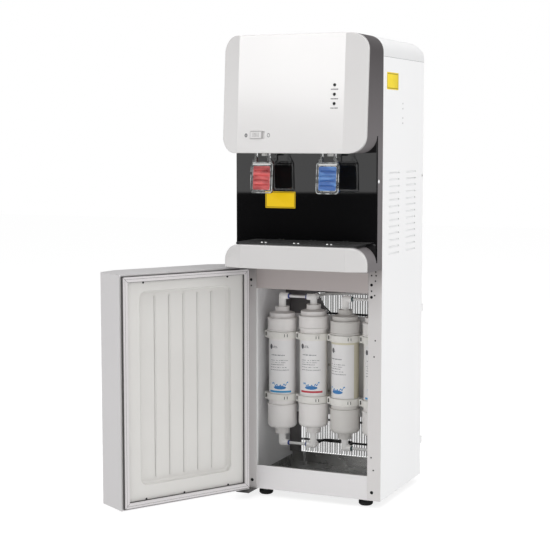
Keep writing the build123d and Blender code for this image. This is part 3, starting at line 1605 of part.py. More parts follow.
os.makedirs("parts", exist_ok=True)
for name, shape in nodes().items():
    solids = shape if isinstance(shape, list) else [shape]
    group = Compound(children=[s for item in solids for s in item.solids()])
    export_step(group, f"parts/{name}.step")
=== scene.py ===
import math
import bmesh
import bpy
from mathutils import Matrix, Vector


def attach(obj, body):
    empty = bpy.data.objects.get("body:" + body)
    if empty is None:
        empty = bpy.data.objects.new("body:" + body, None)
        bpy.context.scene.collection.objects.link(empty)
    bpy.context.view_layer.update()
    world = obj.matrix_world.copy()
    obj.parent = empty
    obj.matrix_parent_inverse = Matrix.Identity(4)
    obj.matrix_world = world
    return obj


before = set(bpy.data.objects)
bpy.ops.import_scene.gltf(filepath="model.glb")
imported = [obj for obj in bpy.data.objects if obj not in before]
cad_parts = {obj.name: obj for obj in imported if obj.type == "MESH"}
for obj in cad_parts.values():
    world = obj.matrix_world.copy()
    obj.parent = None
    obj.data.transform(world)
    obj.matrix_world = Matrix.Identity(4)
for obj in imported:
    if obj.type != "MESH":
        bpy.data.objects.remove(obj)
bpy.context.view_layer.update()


# Base pan: a folded pan of galvanised steel that closes the cabinet at the bottom. Its front edge is the
# painted sill under the door, and each foot's nut is welded to its floor.
class Value:
    """A socket of a node tree. Sums, products and comparisons add the Math nodes that do them."""

    def __init__(self, shading, socket):
        self.shading = shading
        self.socket = socket

    def maths(self, operation, first, second):
        return self.shading.node("ShaderNodeMath", {"operation": operation}, {0: first, 1: second})

    def __add__(self, other):
        return self.maths("ADD", self, other)

    def __radd__(self, other):
        return self.maths("ADD", other, self)

    def __sub__(self, other):
        return self.maths("SUBTRACT", self, other)

    def __rsub__(self, other):
        return self.maths("SUBTRACT", other, self)

    def __mul__(self, other):
        return self.maths("MULTIPLY", self, other)

    def __rmul__(self, other):
        return self.maths("MULTIPLY", other, self)

    def __truediv__(self, other):
        return self.maths("DIVIDE", self, other)

    def __gt__(self, other):
        return self.maths("GREATER_THAN", self, other)

    def __lt__(self, other):
        return self.maths("LESS_THAN", self, other)


class Shading:
    """A node tree: constants sit on its nodes' sockets, and values are linked to them."""

    def __init__(self, tree):
        self.tree = tree

    def feed(self, socket, value):
        if isinstance(value, Value):
            self.tree.links.new(value.socket, socket)
        elif isinstance(value, tuple) and len(value) == 3 and len(socket.default_value) == 4:
            socket.default_value = (*value, 1)
        else:
            socket.default_value = value

    def node(self, kind, settings=None, values=None, out=0):
        made = self.tree.nodes.new(kind)
        for name, value in (settings or {}).items():
            if name == "stops":
                self.set_stops(made.color_ramp, value)
            else:
                setattr(made, name, value)
        for socket, value in (values or {}).items():
            self.feed(made.inputs[socket], value)
        return Value(self, made.outputs[out])

    def part(self, vector, axis):
        """One of a vector's three numbers."""
        return self.node("ShaderNodeSeparateXYZ", {}, {0: vector}, out=axis)

    def set_stops(self, ramp, stops):
        while len(ramp.elements) < len(stops):
            ramp.elements.new(1)
        for element, (place, colour) in zip(ramp.elements, stops):
            element.position = place
            element.color = (*colour, 1)


class Finish(Shading):
    """A material on one Principled shader, whose sockets are given with _ for each space."""

    def __init__(self, name, colour, roughness, **sockets):
        self.material = bpy.data.materials.new(name)
        self.material.use_nodes = True
        super().__init__(self.material.node_tree)
        self.shader = self.tree.nodes["Principled BSDF"]
        self.put("Base Color", colour)
        self.put("Roughness", roughness)
        for socket, value in sockets.items():
            self.put(socket.replace("_", " "), value)

    def put(self, socket, value):
        self.feed(self.shader.inputs[socket], value)

    def place(self, stretch=(1, 1, 1)):
        """Object coordinates, stretched per axis."""
        plain = self.node("ShaderNodeTexCoord", out="Object")
        return self.node("ShaderNodeVectorMath", {"operation": "MULTIPLY"}, {0: plain, 1: stretch})

    def along(self, axis):
        """How far a point lies along one axis, in metres."""
        return self.part(self.place(), axis)

    def clouds(self, scale, detail=2.0, stretch=(1, 1, 1)):
        """Noise from 0 to 1 with its size set in cells per metre."""
        return self.node("ShaderNodeTexNoise", {},
                         {"Vector": self.place(stretch), "Scale": scale, "Detail": detail})

    def cells(self, scale):
        """Foam or crystal cells, dark in the middle, with their number per metre."""
        return self.node("ShaderNodeTexVoronoi", {}, {"Vector": self.place(), "Scale": scale})

    def blend(self, share, first, second):
        """One colour turning into another."""
        return self.node("ShaderNodeMix", {"data_type": "RGBA"}, {0: share, 6: first, 7: second}, out=2)

    def ramp(self, share, *stops):
        return self.node("ShaderNodeValToRGB", {"stops": stops}, {0: share})

    def relief(self, height, depth, edge=0.0):
        """Bump of a given depth, on edges that are rounded by a given radius, both in mm."""
        values = {"Height": height, "Distance": depth * mm}
        if edge > 0:
            values["Normal"] = self.node("ShaderNodeBevel", {"samples": 4}, {"Radius": edge * mm})
        self.put("Normal", self.node("ShaderNodeBump", {}, values))


mm = 0.001
front_plane = -136 * mm
sill_skin = 1.6 * mm


def dress(finish, *nodes):
    """Gives CAD pieces their finish."""
    for name in nodes:
        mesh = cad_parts[name].data
        mesh.materials.clear()
        mesh.materials.append(finish.material)


zinc = Finish("galvanised_steel", (0.42, 0.42, 0.42), 0.38, Metallic=0.35)
streaks = zinc.clouds(9, 5, (1, 3, 1))
flakes = zinc.cells(160)
zinc.put("Base Color", zinc.blend(streaks, (0.40, 0.40, 0.41), (0.66, 0.66, 0.66)))
zinc.put("Roughness", 0.28 + 0.25 * streaks + 0.1 * flakes)
zinc.relief(flakes, 0.03, 0.4)
dress(zinc, "rear_panel", "tank_shelf")

pan_steel = Finish("painted_and_bare_pan", (0.8, 0.8, 0.8), 0.4)
sill_paint = pan_steel.along("Y") < front_plane + sill_skin
pan_streaks = pan_steel.clouds(11, 6, (1, 2.4, 1))
bare = pan_steel.blend(pan_streaks, (0.27, 0.27, 0.265), (0.64, 0.64, 0.63))
pan_steel.put("Base Color", pan_steel.blend(sill_paint, bare, (0.80, 0.785, 0.79)))
pan_steel.put("Metallic", 0.8 - 0.8 * sill_paint)
pan_steel.put("Roughness", 0.16 + 0.22 * pan_streaks + 0.14 * sill_paint)
pan_steel.relief(pan_streaks, 0.05, 0.5)
dress(pan_steel, "base_pan")


# Four levelling feet: black rubber pads moulded round a hexagon on a zinc-plated stud. The stud screws up
# through the pan into a welded nut.
rubber_black = (0.012, 0.012, 0.012)
pad_top = 9.3 * mm
stud_top = 80 * mm
rubber = Finish("black_rubber", rubber_black, 0.55)
rubber_grain = rubber.clouds(900, 3)
rubber.put("Roughness", 0.45 + 0.2 * rubber_grain)
foot_rise = rubber.along("Z")
stud = (foot_rise > pad_top) * (foot_rise < stud_top)
rubber.put("Base Color", rubber.blend(stud, rubber_black, (0.52, 0.52, 0.52)))
rubber.put("Metallic", 0.7 * stud)
rubber.relief(rubber_grain, 0.05, 0.8)
dress(rubber, "front_left_foot", "front_right_foot", "rear_left_foot", "rear_right_foot",
      "compressor_grommets")


# Side panels: 1 mm steel sheet, folded at the front and rear and powder coated white. Two columns of pressed
# louvers let the compressor's heat out, and four small holes vent the tank space.
flange_skin = 0.9 * mm
powder_white = Finish("white_powder_coat", (0.86, 0.86, 0.87), 0.42, Specular_IOR_Level=0.4)
peel = powder_white.clouds(520, 2)
sheet_white = powder_white.blend(powder_white.clouds(3, 1), (0.915, 0.915, 0.92), (0.945, 0.945, 0.95))
# The front faces of the flanges are darker than the sheet, most of all just under the tray: painted shade.
flange = powder_white.along("Y") < front_plane + flange_skin
flange_painted_shade = powder_white.ramp(powder_white.along("Z"), (0.40, (0.71, 0.69, 0.685)),
                                (0.46, (0.63, 0.605, 0.60)), (0.512, (0.34, 0.315, 0.31)),
                                (0.53, (0.76, 0.74, 0.735)))
powder_white.put("Base Color", powder_white.blend(flange, sheet_white, flange_painted_shade))
powder_white.put("Roughness", 0.36 + 0.14 * peel)
powder_white.relief(peel, 0.03, 0.5)
dress(powder_white, "left_side_panel", "right_side_panel", "filter_plate")

half_width = 160
sides = ((1, "right"), (-1, "left"))
forward = Vector((0, -1, 0))
backward = Vector((0, 1, 0))
rightward = Vector((1, 0, 0))
upward = Vector((0, 0, 1))


def at(x, depth, z):
    """A point in metres, from mm to the right, behind the front plane and above the floor."""
    return Vector((x * mm, front_plane + depth * mm, z * mm))


def make_piece(name, shape, finish, body="cabinet", crease=35):
    """Turns a bmesh into a shown piece that rides a body, smooth but for its sharp edges."""
    for face in shape.faces:
        face.smooth = True
    for edge in shape.edges:
        if len(edge.link_faces) == 2:
            edge.smooth = edge.calc_face_angle(0) < math.radians(crease)
    mesh = bpy.data.meshes.new(name)
    shape.to_mesh(mesh)
    shape.free()
    mesh.materials.append(finish.material)
    piece = bpy.data.objects.new(name, mesh)
    bpy.context.scene.collection.objects.link(piece)
    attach(piece, body)


def skin(shape, rings, closed=False):
    """Faces between neighbouring rings of points; closed also joins the last ring to the first."""
    following = rings[1:] + rings[:1] if closed else rings[1:]
    for low, high in zip(rings, following):
        for i in range(len(low)):
            j = (i + 1) % len(low)
            shape.faces.new((low[i], low[j], high[j], high[i]))


def round_corners(width, height, corner):
    """The outline of a rectangle with round corners, about its middle."""
    outline = []
    for side, rise, start in ((1, 1, 0), (-1, 1, 90), (-1, -1, 180), (1, -1, 270)):
        for step in range(5):
            turn = math.radians(start + step * 22.5)
            outline.append((side * (width / 2 - corner) + corner * math.cos(turn),
                            rise * (height / 2 - corner) + corner * math.sin(turn)))
    return outline


def plate_shape(centre, across, up, width, height, thickness, corner):
    """A thin plate on a surface, sizes in mm, with artwork coordinates from 0 to 1."""
    shape = bmesh.new()
    out = across.cross(up)
    outline = round_corners(width, height, corner)
    rings = []
    for inset, lift in ((0, 0), (0, thickness * 0.6), (thickness * 0.4, thickness)):
        grow_x = 1 - 2 * inset / width
        grow_z = 1 - 2 * inset / height
        rings.append([shape.verts.new(centre + (across * (x * grow_x) + up * (z * grow_z) + out * lift) * mm)
                      for x, z in outline])
    skin(shape, rings)
    shape.faces.new(rings[-1])
    shape.faces.new(list(reversed(rings[0])))
    layer = shape.loops.layers.uv.new("artwork")
    for face in shape.faces:
        for loop in face.loops:
            offset = (loop.vert.co - centre) / mm
            loop[layer].uv = (offset.dot(across) / width + 0.5, offset.dot(up) / height + 0.5)
    return shape


def artwork(finish):
    """The two artwork coordinates of a plate or label, each from 0 to 1."""
    both = finish.node("ShaderNodeUVMap", {"uv_map": "artwork"})
    return [finish.part(both, axis) for axis in "XY"]


def window(u, v, left, right, low, high):
    """1 inside a rectangle of the artwork, 0 outside."""
    return (u > left) * (u < right) * (v > low) * (v < high)


def sticker_finish(name, colour, edge, rim_u, rim_v, glow=0.0):
    """Coated paper in one colour with a thin printed border; a glow, where given, is painted light."""
    finish = Finish(name, colour, 0.5, Specular_IOR_Level=0.3, Emission_Color=colour, Emission_Strength=glow)
    u, v = artwork(finish)
    start_u = rim_u * 0.45
    start_v = rim_v * 0.45
    inside = window(u, v, rim_u, 1 - rim_u, rim_v, 1 - rim_v)
    line = window(u, v, start_u, 1 - start_u, start_v, 1 - start_v) - inside
    paper = finish.blend(finish.clouds(30, 3), colour, tuple(c * 0.93 for c in colour))
    finish.put("Base Color", finish.blend(line, paper, edge))
    return finish


yellow_paper = sticker_finish("yellow_side_sticker", (0.93, 0.72, 0.05), (0.45, 0.33, 0.03), 0.055, 0.11)
side_sticker_sizes = (74, 36, 0.15, 2)
side_sticker_middle = at(half_width, 59, 907.5)
side_sticker = plate_shape(side_sticker_middle, backward, upward, *side_sticker_sizes)
make_piece("side_sticker", side_sticker, yellow_paper)

head_profile = ((1.0, 0.0), (1.0, 0.35), (0.86, 0.72), (0.55, 0.96), (0.3, 1.0))
head_steps = 16
cross_reach = 0.56
cross_sink = 0.45
cross_floor = 0.4


def pan_head(name, centre, out, diameter, height, finish, body="cabinet"):
    """A small domed screw head with a cross recess pressed into it, sizes in mm."""
    side = out.orthogonal().normalized()
    other = out.cross(side)
    shape = bmesh.new()
    rings = []
    for share, lift in head_profile:
        radius = diameter / 2 * share
        ring = []
        for i in range(head_steps):
            turn = math.tau * i / head_steps
            rise = lift - cross_sink if share < cross_reach and i % 4 == 0 else lift
            point = (side * math.cos(turn) + other * math.sin(turn)) * radius + out * (height * rise)
            ring.append(shape.verts.new(centre + point * mm))
        rings.append(ring)
    skin(shape, rings)
    middle = shape.verts.new(centre + out * (height * cross_floor * mm))
    for i in range(head_steps):
        shape.faces.new((rings[-1][i], rings[-1][(i + 1) % head_steps], middle))
    shape.faces.new(list(reversed(rings[0])))
    make_piece(name, shape, finish, body, 50)


def disc(name, centre, out, radius, thickness, finish):
    """A plain round piece in a hole, sizes in mm."""
    shape = bmesh.new()
    bmesh.ops.create_cone(shape, cap_ends=True, segments=16, radius1=radius * mm, radius2=radius * mm,
                          depth=thickness * mm)
    shape.transform(Matrix.Translation(centre) @ out.to_track_quat("Z", "Y").to_matrix().to_4x4())
    make_piece(name, shape, finish)


dull_zinc = Finish("dull_zinc", (0.38, 0.38, 0.38), 0.5)
dull_zinc.put("Roughness", 0.4 + 0.2 * dull_zinc.clouds(900, 2))
# Black zinc for the dark screws, and for the dark discs behind holes that are painted shade.
dark_screw_and_hole_shade = Finish("black_zinc_and_hole_shade", (0.02, 0.02, 0.02), 0.4, Metallic=0.6)
dark_screw_and_hole_shade.put("Roughness", 0.3 + 0.3 * dark_screw_and_hole_shade.clouds(900, 2))

# The holes of each flange, as mm in from the side and mm above the floor
right_holes = ((23, 500), (13, 500), (14, 508), (23, 480), (14.5, 488.5), (23, 467), (16, 458), (23, 454),
               (14, 362), (16.4, 327.4), (21.5, 109.8), (16.3, 82.5))
left_holes = ((17.6, 480), (17.6, 467))
# A dark disc behind each flange hole is painted shade in the hole.
flange_shade_depth = 2.1
flange_shade_sizes = (2.4, 2)
for (side, side_name), holes in zip(sides, (right_holes, left_holes)):
    for count, (inset, z) in enumerate(holes, 1):
        middle = at(side * (half_width - inset), flange_shade_depth, z)
        disc(f"flange_hole_shade_{side_name}_{count}", middle, forward, *flange_shade_sizes, dark_screw_and_hole_shade)

vent_depth = 127
vent_heights = (862, 851, 831, 820)
# A dark disc behind each vent hole is painted shade in the hole.
vent_shade_face = 158.4
vent_shade_sizes = (2, 0.8)
eyelet_face = 160.03
eyelet_sizes = (1.9, 0.1)
for side, side_name in sides:
    out = side * rightward
    for count, z in enumerate(vent_heights, 1):
        place = f"{side_name}_{count}"
        disc(f"vent_hole_shade_{place}", at(side * vent_shade_face, vent_depth, z), out, *vent_shade_sizes, dark_screw_and_hole_shade)
        disc(f"vent_eyelet_{place}", at(side * eyelet_face, vent_depth, z), out, *eyelet_sizes, dull_zinc)

felt_white = Finish("louver_felt", (0.92, 0.92, 0.93), 0.9)
felt_fibres = felt_white.clouds(1600, 4)
felt_white.put("Roughness", 0.8 + 0.15 * felt_fibres)
felt_white.relief(felt_fibres, 0.2)
louver_columns = (74, 185)
louver_rows = 13
louver_foot = 542.6
louver_pitch = 14.3
strip_place = 158
strip_sizes = (65, 2.6, 0.9, 0.5)
for side, side_name in sides:
    for column, depth in enumerate(louver_columns, 1):
        for row in range(louver_rows):
            middle = at(side * strip_place, depth, louver_foot + louver_pitch * row)
            make_piece(f"louver_felt_{side_name}_{column}_{row + 1}",
                       plate_shape(middle, side * backward, upward, *strip_sizes), felt_white)

bright_screw = Finish("nickel_screw", (0.62, 0.62, 0.60), 0.28, Metallic=1.0)
brushing = bright_screw.clouds(700, 3)
bright_screw.put("Roughness", 0.2 + 0.2 * brushing)
bright_screw.relief(brushing, 0.02, 0.3)
flange_screws = ((-140.5, 34), (140.5, 34))
bracket_screws = ((-142.4, 480), (137, 480), (137, 454))
side_screw_depth = 266
side_screw_height = 704
for count, (x, z) in enumerate(flange_screws, 1):
    pan_head(f"flange_screw_{count}", at(x, -0.4, z), forward, 7.4, 0.35, dark_screw_and_hole_shade)
for count, (x, z) in enumerate(bracket_screws, 1):
    pan_head(f"bracket_screw_{count}", at(x, 0, z), forward, 6.2, 0.5, dark_screw_and_hole_shade)
for count, side in enumerate((-1, 1), 1):
    middle = at(side * half_width, side_screw_depth, side_screw_height)
    pan_head(f"side_screw_{count}", middle, side * rightward, 6, 0.45, bright_screw)


# Mid deck: a painted shelf whose folded front is the lintel over the filter bay. It carries the compressor
# and the front mouldings.
# Its paint is set to a dull gray, partly its own grayer tone and partly painted shade from the tray above.
deck_paint_painted_shade = Finish("white_deck_paint", (0.50, 0.45, 0.44), 0.45)
deck_peel = deck_paint_painted_shade.clouds(520, 2)
deck_paint_painted_shade.put("Roughness", 0.38 + 0.16 * deck_peel)
deck_paint_painted_shade.relief(deck_peel, 0.03, 0.5)
dress(deck_paint_painted_shade, "mid_deck")


# Compressor: a welded steel pot in black enamel, with its relay box on the side. It stands on the deck on
# rubber grommets.
pot_paint = Finish("black_pot_enamel", (0.014, 0.014, 0.015), 0.3, Coat_Weight=0.3)
pot_drift = pot_paint.clouds(60, 4)
pot_paint.put("Roughness", 0.22 + 0.22 * pot_drift)
pot_paint.relief(pot_drift, 0.12, 1.0)
dress(pot_paint, "compressor")


# Condenser and refrigerant lines: steel tube bent to and fro, with wires welded across it on both sides and
# the lines brazed to it, all dipped in black paint. Four white arms screw it to the side panels. The lines at
# the far left are gray.
arm_start = 131 * mm
wire_paint = Finish("black_wire_paint", (0.010, 0.010, 0.011), 0.42)
wire_drift = wire_paint.clouds(300, 3)
wire_side = wire_paint.along("X")
arm_paint = (wire_side > arm_start) + (wire_side < -arm_start)
black = wire_paint.blend(wire_drift, (0.006, 0.006, 0.006), (0.02, 0.02, 0.021))
wire_paint.put("Base Color", wire_paint.blend(arm_paint, black, (0.9, 0.9, 0.9)))
wire_paint.put("Roughness", 0.3 + 0.25 * wire_drift)
wire_paint.relief(wire_drift, 0.05)
dress(wire_paint, "condenser")

wire_count = 45
wire_pitch = 6.2
wire_length = 397
wire_middle = 238.5
wire_radius = 0.75 * mm
wire_depths = (288.25, 281.75)
wires = bmesh.new()
for i in range(wire_count):
    middle = at(wire_pitch * (i - wire_count // 2), wire_depths[i % 2], wire_middle)
    bmesh.ops.create_cone(wires, cap_ends=True, segments=8, radius1=wire_radius, radius2=wire_radius,
                          depth=wire_length * mm, matrix=Matrix.Translation(middle))
make_piece("condenser_wires_between", wires, wire_paint, crease=40)

line_paint = (0.012, 0.012, 0.012)
gray_lines_end = -98 * mm
line_black = Finish("black_line_paint", line_paint, 0.4)
gray_lines = line_black.along("X") < gray_lines_end
line_black.put("Base Color", line_black.blend(gray_lines, line_paint, (0.25, 0.24, 0.24)))
line_black.put("Roughness", 0.3 + 0.25 * line_black.clouds(300, 3))
dress(line_black, "refrigerant_lines")


# Shade sheet: a bent dark gray sheet, screwed to the left side panel in the rear corner of the bay in front
# of the refrigerant lines, and wider at the top. Its dark gray is painted shade for that corner.
shade_sheet_gray = Finish("dark_gray_painted_shade", (0.22, 0.21, 0.215), 0.5)
guard_drift = shade_sheet_gray.clouds(22, 4)
shade_sheet_gray.put("Base Color", shade_sheet_gray.blend(guard_drift, (0.19, 0.18, 0.185), (0.26, 0.248, 0.252)))
shade_sheet_gray.put("Roughness", 0.42 + 0.2 * shade_sheet_gray.clouds(500, 2))
shade_sheet_gray.relief(shade_sheet_gray.clouds(700, 2), 0.03, 0.4)


def sheet(outline, thickness):
    """A flat sheet with a many-sided outline; its thickness is a vector that says which way it goes."""
    shape = bmesh.new()
    near = [shape.verts.new(at(*point)) for point in outline]
    far = [shape.verts.new(at(*point) + thickness * mm) for point in outline]
    shape.faces.new(near)
    shape.faces.new(list(reversed(far)))
    skin(shape, [far, near])
    bmesh.ops.recalc_face_normals(shape, faces=shape.faces)
    return shape


guard_steel = 1.2
guard_depth = 254
guard_edge = -158
guard_foot = 45
guard_top = 496
guard_face = [(x, guard_depth, z) for x, z in (
    (guard_edge, guard_foot), (-129, guard_foot), (-129, 366), (-62, 380), (-89, 430), (-89, guard_top),
    (guard_edge, guard_top))]
guard_side = [(guard_edge - 0.8, depth, z) for depth, z in (
    (228, guard_top), (228, 396), (guard_depth, 380), (guard_depth, guard_foot), (267, guard_foot),
    (267, guard_top))]
make_piece("shade_sheet_face", sheet(guard_face, guard_steel * backward), shade_sheet_gray, crease=30)
make_piece("shade_sheet_side", sheet(guard_side, guard_steel * rightward), shade_sheet_gray, crease=30)
for count, z in enumerate((90, 270, 440), 1):
    pan_head(f"shade_sheet_screw_{count}", at(guard_edge + 0.4, 261, z), rightward, 6, 1.2, bright_screw)


# Tanks: drums drawn from stainless sheet. The cold one wears its evaporator inside the foam, and the hot one
# has a drain pipe. The pins of the levers are of the same steel.
drawn_steel = Finish("drawn_stainless", (0.55, 0.54, 0.52), 0.3, Metallic=1.0)
drawing = drawn_steel.clouds(40, 4, (1, 1, 14))
drawn_steel.put("Roughness", 0.22 + 0.2 * drawing)
drawn_steel.relief(drawing, 0.02)
dress(drawn_steel, "cold_tank", "hot_tank", "lever_pins")


# Foam jackets: cream polyurethane, poured round the two tanks, with a skin full of small open bubbles. They
# keep the one tank cold and the other hot.
foam = Finish("cream_foam", (0.72, 0.64, 0.42), 0.85)
foam.put("Base Color", foam.blend(foam.clouds(14, 4), (0.62, 0.53, 0.32), (0.78, 0.71, 0.52)))
foam.relief(foam.cells(260), 0.6)
dress(foam, "tank_insulation")


# White service parts: thermostats, electrical box, solenoid valve, water union, tap bodies and valve stems,
# all moulded in plain white plastic with a fine spark-eroded grain.
def grained(name, colour, roughness, depth=0.02, edge=0.5, **sockets):
    """Moulded plastic with a fine grain, a slight drift of tone and softly rounded edges."""
    finish = Finish(name, colour, roughness, **sockets)
    grain = finish.clouds(1400, 2)
    finish.put("Base Color", finish.blend(finish.clouds(12, 2), tuple(c * 0.95 for c in colour), colour))
    finish.put("Roughness", (roughness - 0.05) + 0.1 * grain)
    finish.relief(grain, depth, edge)
    return finish


service_white = grained("service_white", (0.80, 0.80, 0.78), 0.42)
dress(service_white, "thermostats", "power_box", "solenoid_valve", "water_inlet", "tap_bodies",
      "hot_valve_stem", "cold_valve_stem")


# Display board: a green circuit board on four posts behind the facia. It holds the three diodes that shine
# through the lenses.
dress(grained("solder_mask_green", (0.02, 0.13, 0.06), 0.3), "display_board")


# Mains inlet and its two switches: a black socket and two moulded rockers, red for heating and green for
# cooling. The cap of the drain is of the socket's black plastic.
dress(grained("service_black", (0.02, 0.02, 0.02), 0.38), "mains_inlet", "drain_cap")
dress(grained("rocker_red", (0.55, 0.015, 0.015), 0.22), "hot_switch")
dress(grained("rocker_green", (0.015, 0.28, 0.06), 0.22), "cold_switch")


# Drain outlet: a turned brass pipe from the hot tank. It comes out through the rear panel and is closed with
# the black cap.
brass = Finish("turned_brass", (0.62, 0.43, 0.14), 0.25, Metallic=1.0)
turning = brass.clouds(300, 3, (1, 0.05, 1))
brass.put("Roughness", 0.18 + 0.2 * turning)
brass.relief(turning, 0.02, 0.3)
dress(brass, "drain_outlet")


# Filter cartridges: white polypropylene bodies spun-welded to their caps. A paper label is wrapped round the
# front of each, and it stands off the body by its own thickness.
cartridge_white = Finish("cartridge_white", (0.80, 0.80, 0.79), 0.4, Subsurface_Weight=0.15,
                         Subsurface_Radius=(0.004, 0.004, 0.004), Subsurface_Scale=1.0)
moulded = cartridge_white.clouds(16, 3)
cartridge_white.put("Base Color", cartridge_white.blend(moulded, (0.90, 0.872, 0.855), (0.97, 0.942, 0.925)))
dress(cartridge_white, "filter_cartridge_1", "filter_cartridge_2", "filter_cartridge_4")

body_foot = 216 * mm
body_top = 341 * mm
aged_white = Finish("third_cartridge_white", (0.78, 0.76, 0.68), 0.4)
aged_rise = aged_white.along("Z")
bare_body = (aged_rise > body_foot) * (aged_rise < body_top)
cap_white = aged_white.blend(aged_white.clouds(16, 3), (0.70, 0.68, 0.65), (0.80, 0.78, 0.755))
aged_white.put("Base Color", aged_white.blend(bare_body, cap_white, (0.74, 0.70, 0.55)))
dress(aged_white, "filter_cartridge_3")
for finish in (cartridge_white, aged_white):
    welded_skin = finish.clouds(500, 3)
    finish.put("Roughness", 0.33 + 0.15 * welded_skin)
    finish.relief(welded_skin, 0.03, 0.7)

filter_columns = (-114, -38, 38, 114)
filter_depth = 106
filter_radius = 30.5
label_height = 120
label_foot = 216
label_half_turn = 68
round_steps = 48


def round_filter(x, turn, radius, z):
    """A point round a cartridge's axis; the turn goes from its front to the right."""
    return at(x + radius * math.sin(turn), filter_depth - radius * math.cos(turn), z)


def wrapped_label(x, middle, low):
    """A thin sheet round a cartridge; middle is the angle of its centre from the front, to the right."""
    shape = bmesh.new()
    layer = shape.loops.layers.uv.new("artwork")
    columns = []
    for i in range(round_steps + 1):
        turn = math.radians(middle - label_half_turn + 2 * label_half_turn * i / round_steps)
        columns.append([shape.verts.new(round_filter(x, turn, filter_radius + lift, z))
                        for lift in (0.03, 0.2) for z in (low, low + label_height)])
    for i, (start, end) in enumerate(zip(columns, columns[1:])):
        for k, m in ((2, 3), (1, 0), (3, 1), (0, 2)):
            face = shape.faces.new((start[k], end[k], end[m], start[m]))
            for loop, u, v in zip(face.loops, (0, 1, 1, 0), (k % 2, k % 2, m % 2, m % 2)):
                loop[layer].uv = ((i + u) / round_steps, v)
    for ends in (columns[0], columns[-1]):
        shape.faces.new((ends[0], ends[2], ends[3], ends[1]))
    bmesh.ops.recalc_face_normals(shape, faces=shape.faces)
    return shape


# The rows of plain marks on a label: height, start, end and half thickness, as shares of the label
print_rows = ((0.895, 0.20, 0.34, 0.008), (0.87, 0.20, 0.38, 0.006), (0.73, 0.14, 0.60, 0.008),
              (0.63, 0.10, 0.72, 0.006), (0.59, 0.12, 0.62, 0.005), (0.55, 0.10, 0.56, 0.006),
              (0.50, 0.10, 0.66, 0.005), (0.45, 0.10, 0.74, 0.006))
word_columns = 46
word_rows = 9
word_gap = 0.46
splash_middle = 0.44
splash_half_height = 0.012
splash_ripple = 58


def oval(u, v, middle_u, middle_v, half_width_u, half_height_v):
    """1 inside an oval of the artwork, 0 outside."""
    share_u = (u - middle_u) / half_width_u
    share_v = (v - middle_v) / half_height_v
    return (share_u * share_u + share_v * share_v) < 1.0


def label_finish(name, band, mark):
    """White coated paper with a plain dot, rows of marks and a blue splash, and for some a coloured band."""
    finish = Finish(name, (0.82, 0.82, 0.83), 0.33, Coat_Weight=0.15)
    u, v = artwork(finish)
    wide = finish.node("ShaderNodeCombineXYZ", {}, {0: u * word_columns, 1: v * word_rows})
    specks = finish.node("ShaderNodeTexNoise", {"noise_dimensions": "2D"}, {"Vector": wide, "Scale": 1.0})
    rows = sum(window(u, v, start, end, height - half, height + half)
               for height, start, end, half in print_rows)
    paper = finish.blend(finish.clouds(40, 2), (0.90, 0.89, 0.89), (0.95, 0.94, 0.94))
    printed = finish.blend(rows * (specks > word_gap), paper, (0.26, 0.26, 0.28))
    dotted = finish.blend(oval(u, v, mark, 0.885, 0.0571, 0.0474), printed, (0.10, 0.10, 0.11))
    swell = finish.node("ShaderNodeMath", {"operation": "SINE"}, {0: u * splash_ripple})
    from_middle = u - splash_middle
    rim = 0.150 + 0.9 * from_middle * from_middle + 0.017 * swell
    splash = (v < rim + splash_half_height) * (v > rim - splash_half_height) * (u > 0.17) * (u < 0.71)
    splashed = finish.blend(splash, dotted, (0.10, 0.33, 0.66))
    label = finish.blend(oval(u, v, splash_middle, 0.118, 0.20, 0.034), splashed, (0.05, 0.24, 0.58))
    if band is not None:
        label = finish.blend(window(u, v, 0.06, 0.82, 0.022, 0.058), label, band)
    finish.put("Base Color", label)
    return finish


def turned(x, profile, lift):
    """A hollow ring turned round a cartridge's axis from a closed outline of radii and heights in mm."""
    shape = bmesh.new()
    rings = []
    for i in range(round_steps):
        turn = math.tau * i / round_steps
        rings.append([shape.verts.new(round_filter(x, turn, radius, z + lift)) for radius, z in profile])
    skin(shape, rings, closed=True)
    bmesh.ops.recalc_face_normals(shape, faces=shape.faces)
    return shape


cap_rings = (("skirt", ((32.6, 152), (33.0, 151), (33.0, 145.5), (32.4, 142.2), (30.8, 139.3), (28.2, 137.3),
                       (25, 136.6), (24, 136.8), (31, 150))),
             ("lip_lower", ((32.6, 187.2), (33.9, 187.6), (33.9, 190.6), (32.6, 191))),
             ("lip_upper", ((32.6, 357), (33.9, 357.4), (33.9, 360.4), (32.6, 360.8))),
             ("lip_top", ((32.6, 382.4), (33.5, 382.8), (33.5, 385.8), (32.9, 386.9), (31.5, 387.1),
                          (31.4, 386.4))))
cap_lifts = (0, 8, 0, 0)
cap_finishes = (cartridge_white, cartridge_white, aged_white, cartridge_white)
for count, (x, lift, finish) in enumerate(zip(filter_columns, cap_lifts, cap_finishes), 1):
    for ring_name, profile in cap_rings:
        make_piece(f"cap_{ring_name}_{count}", turned(x, profile, lift), finish, crease=50)

label_blue = label_finish("label_with_blue_band", (0.05, 0.35, 0.68), 0.13)
label_red = label_finish("label_with_red_band", (0.62, 0.06, 0.08), 0.13)
label_plain = label_finish("label_with_no_band", None, 0.28)
label_turns = (20, 20, -8, 20)
label_lifts = (0, 5, 0, 0)
label_papers = (label_blue, label_red, label_plain, label_blue)
labels = zip(filter_columns, label_turns, label_lifts, label_papers)
for count, (x, middle, lift, paper) in enumerate(labels, 1):
    make_piece(f"filter_label_{count}", wrapped_label(x, middle, label_foot + lift), paper)


# Filter clips: rings of white plastic that snap round a cartridge, with beaded edges, a latch tab on the
# right and a slotted ear on the left. Each is screwed to a painted plate.
clip_white = grained("clip_white", (0.93, 0.915, 0.875), 0.38)
dress(clip_white, "filter_clips")
clip_shadow = Finish("clip_slot_shadow", (0.05, 0.05, 0.045), 0.6)
clip_shadow.put("Roughness", 0.5 + 0.2 * clip_shadow.clouds(900, 2))
clip_radius = 34.5
clip_levels = (("low", 207.5), ("high", 348.5))
bead_steps = 6


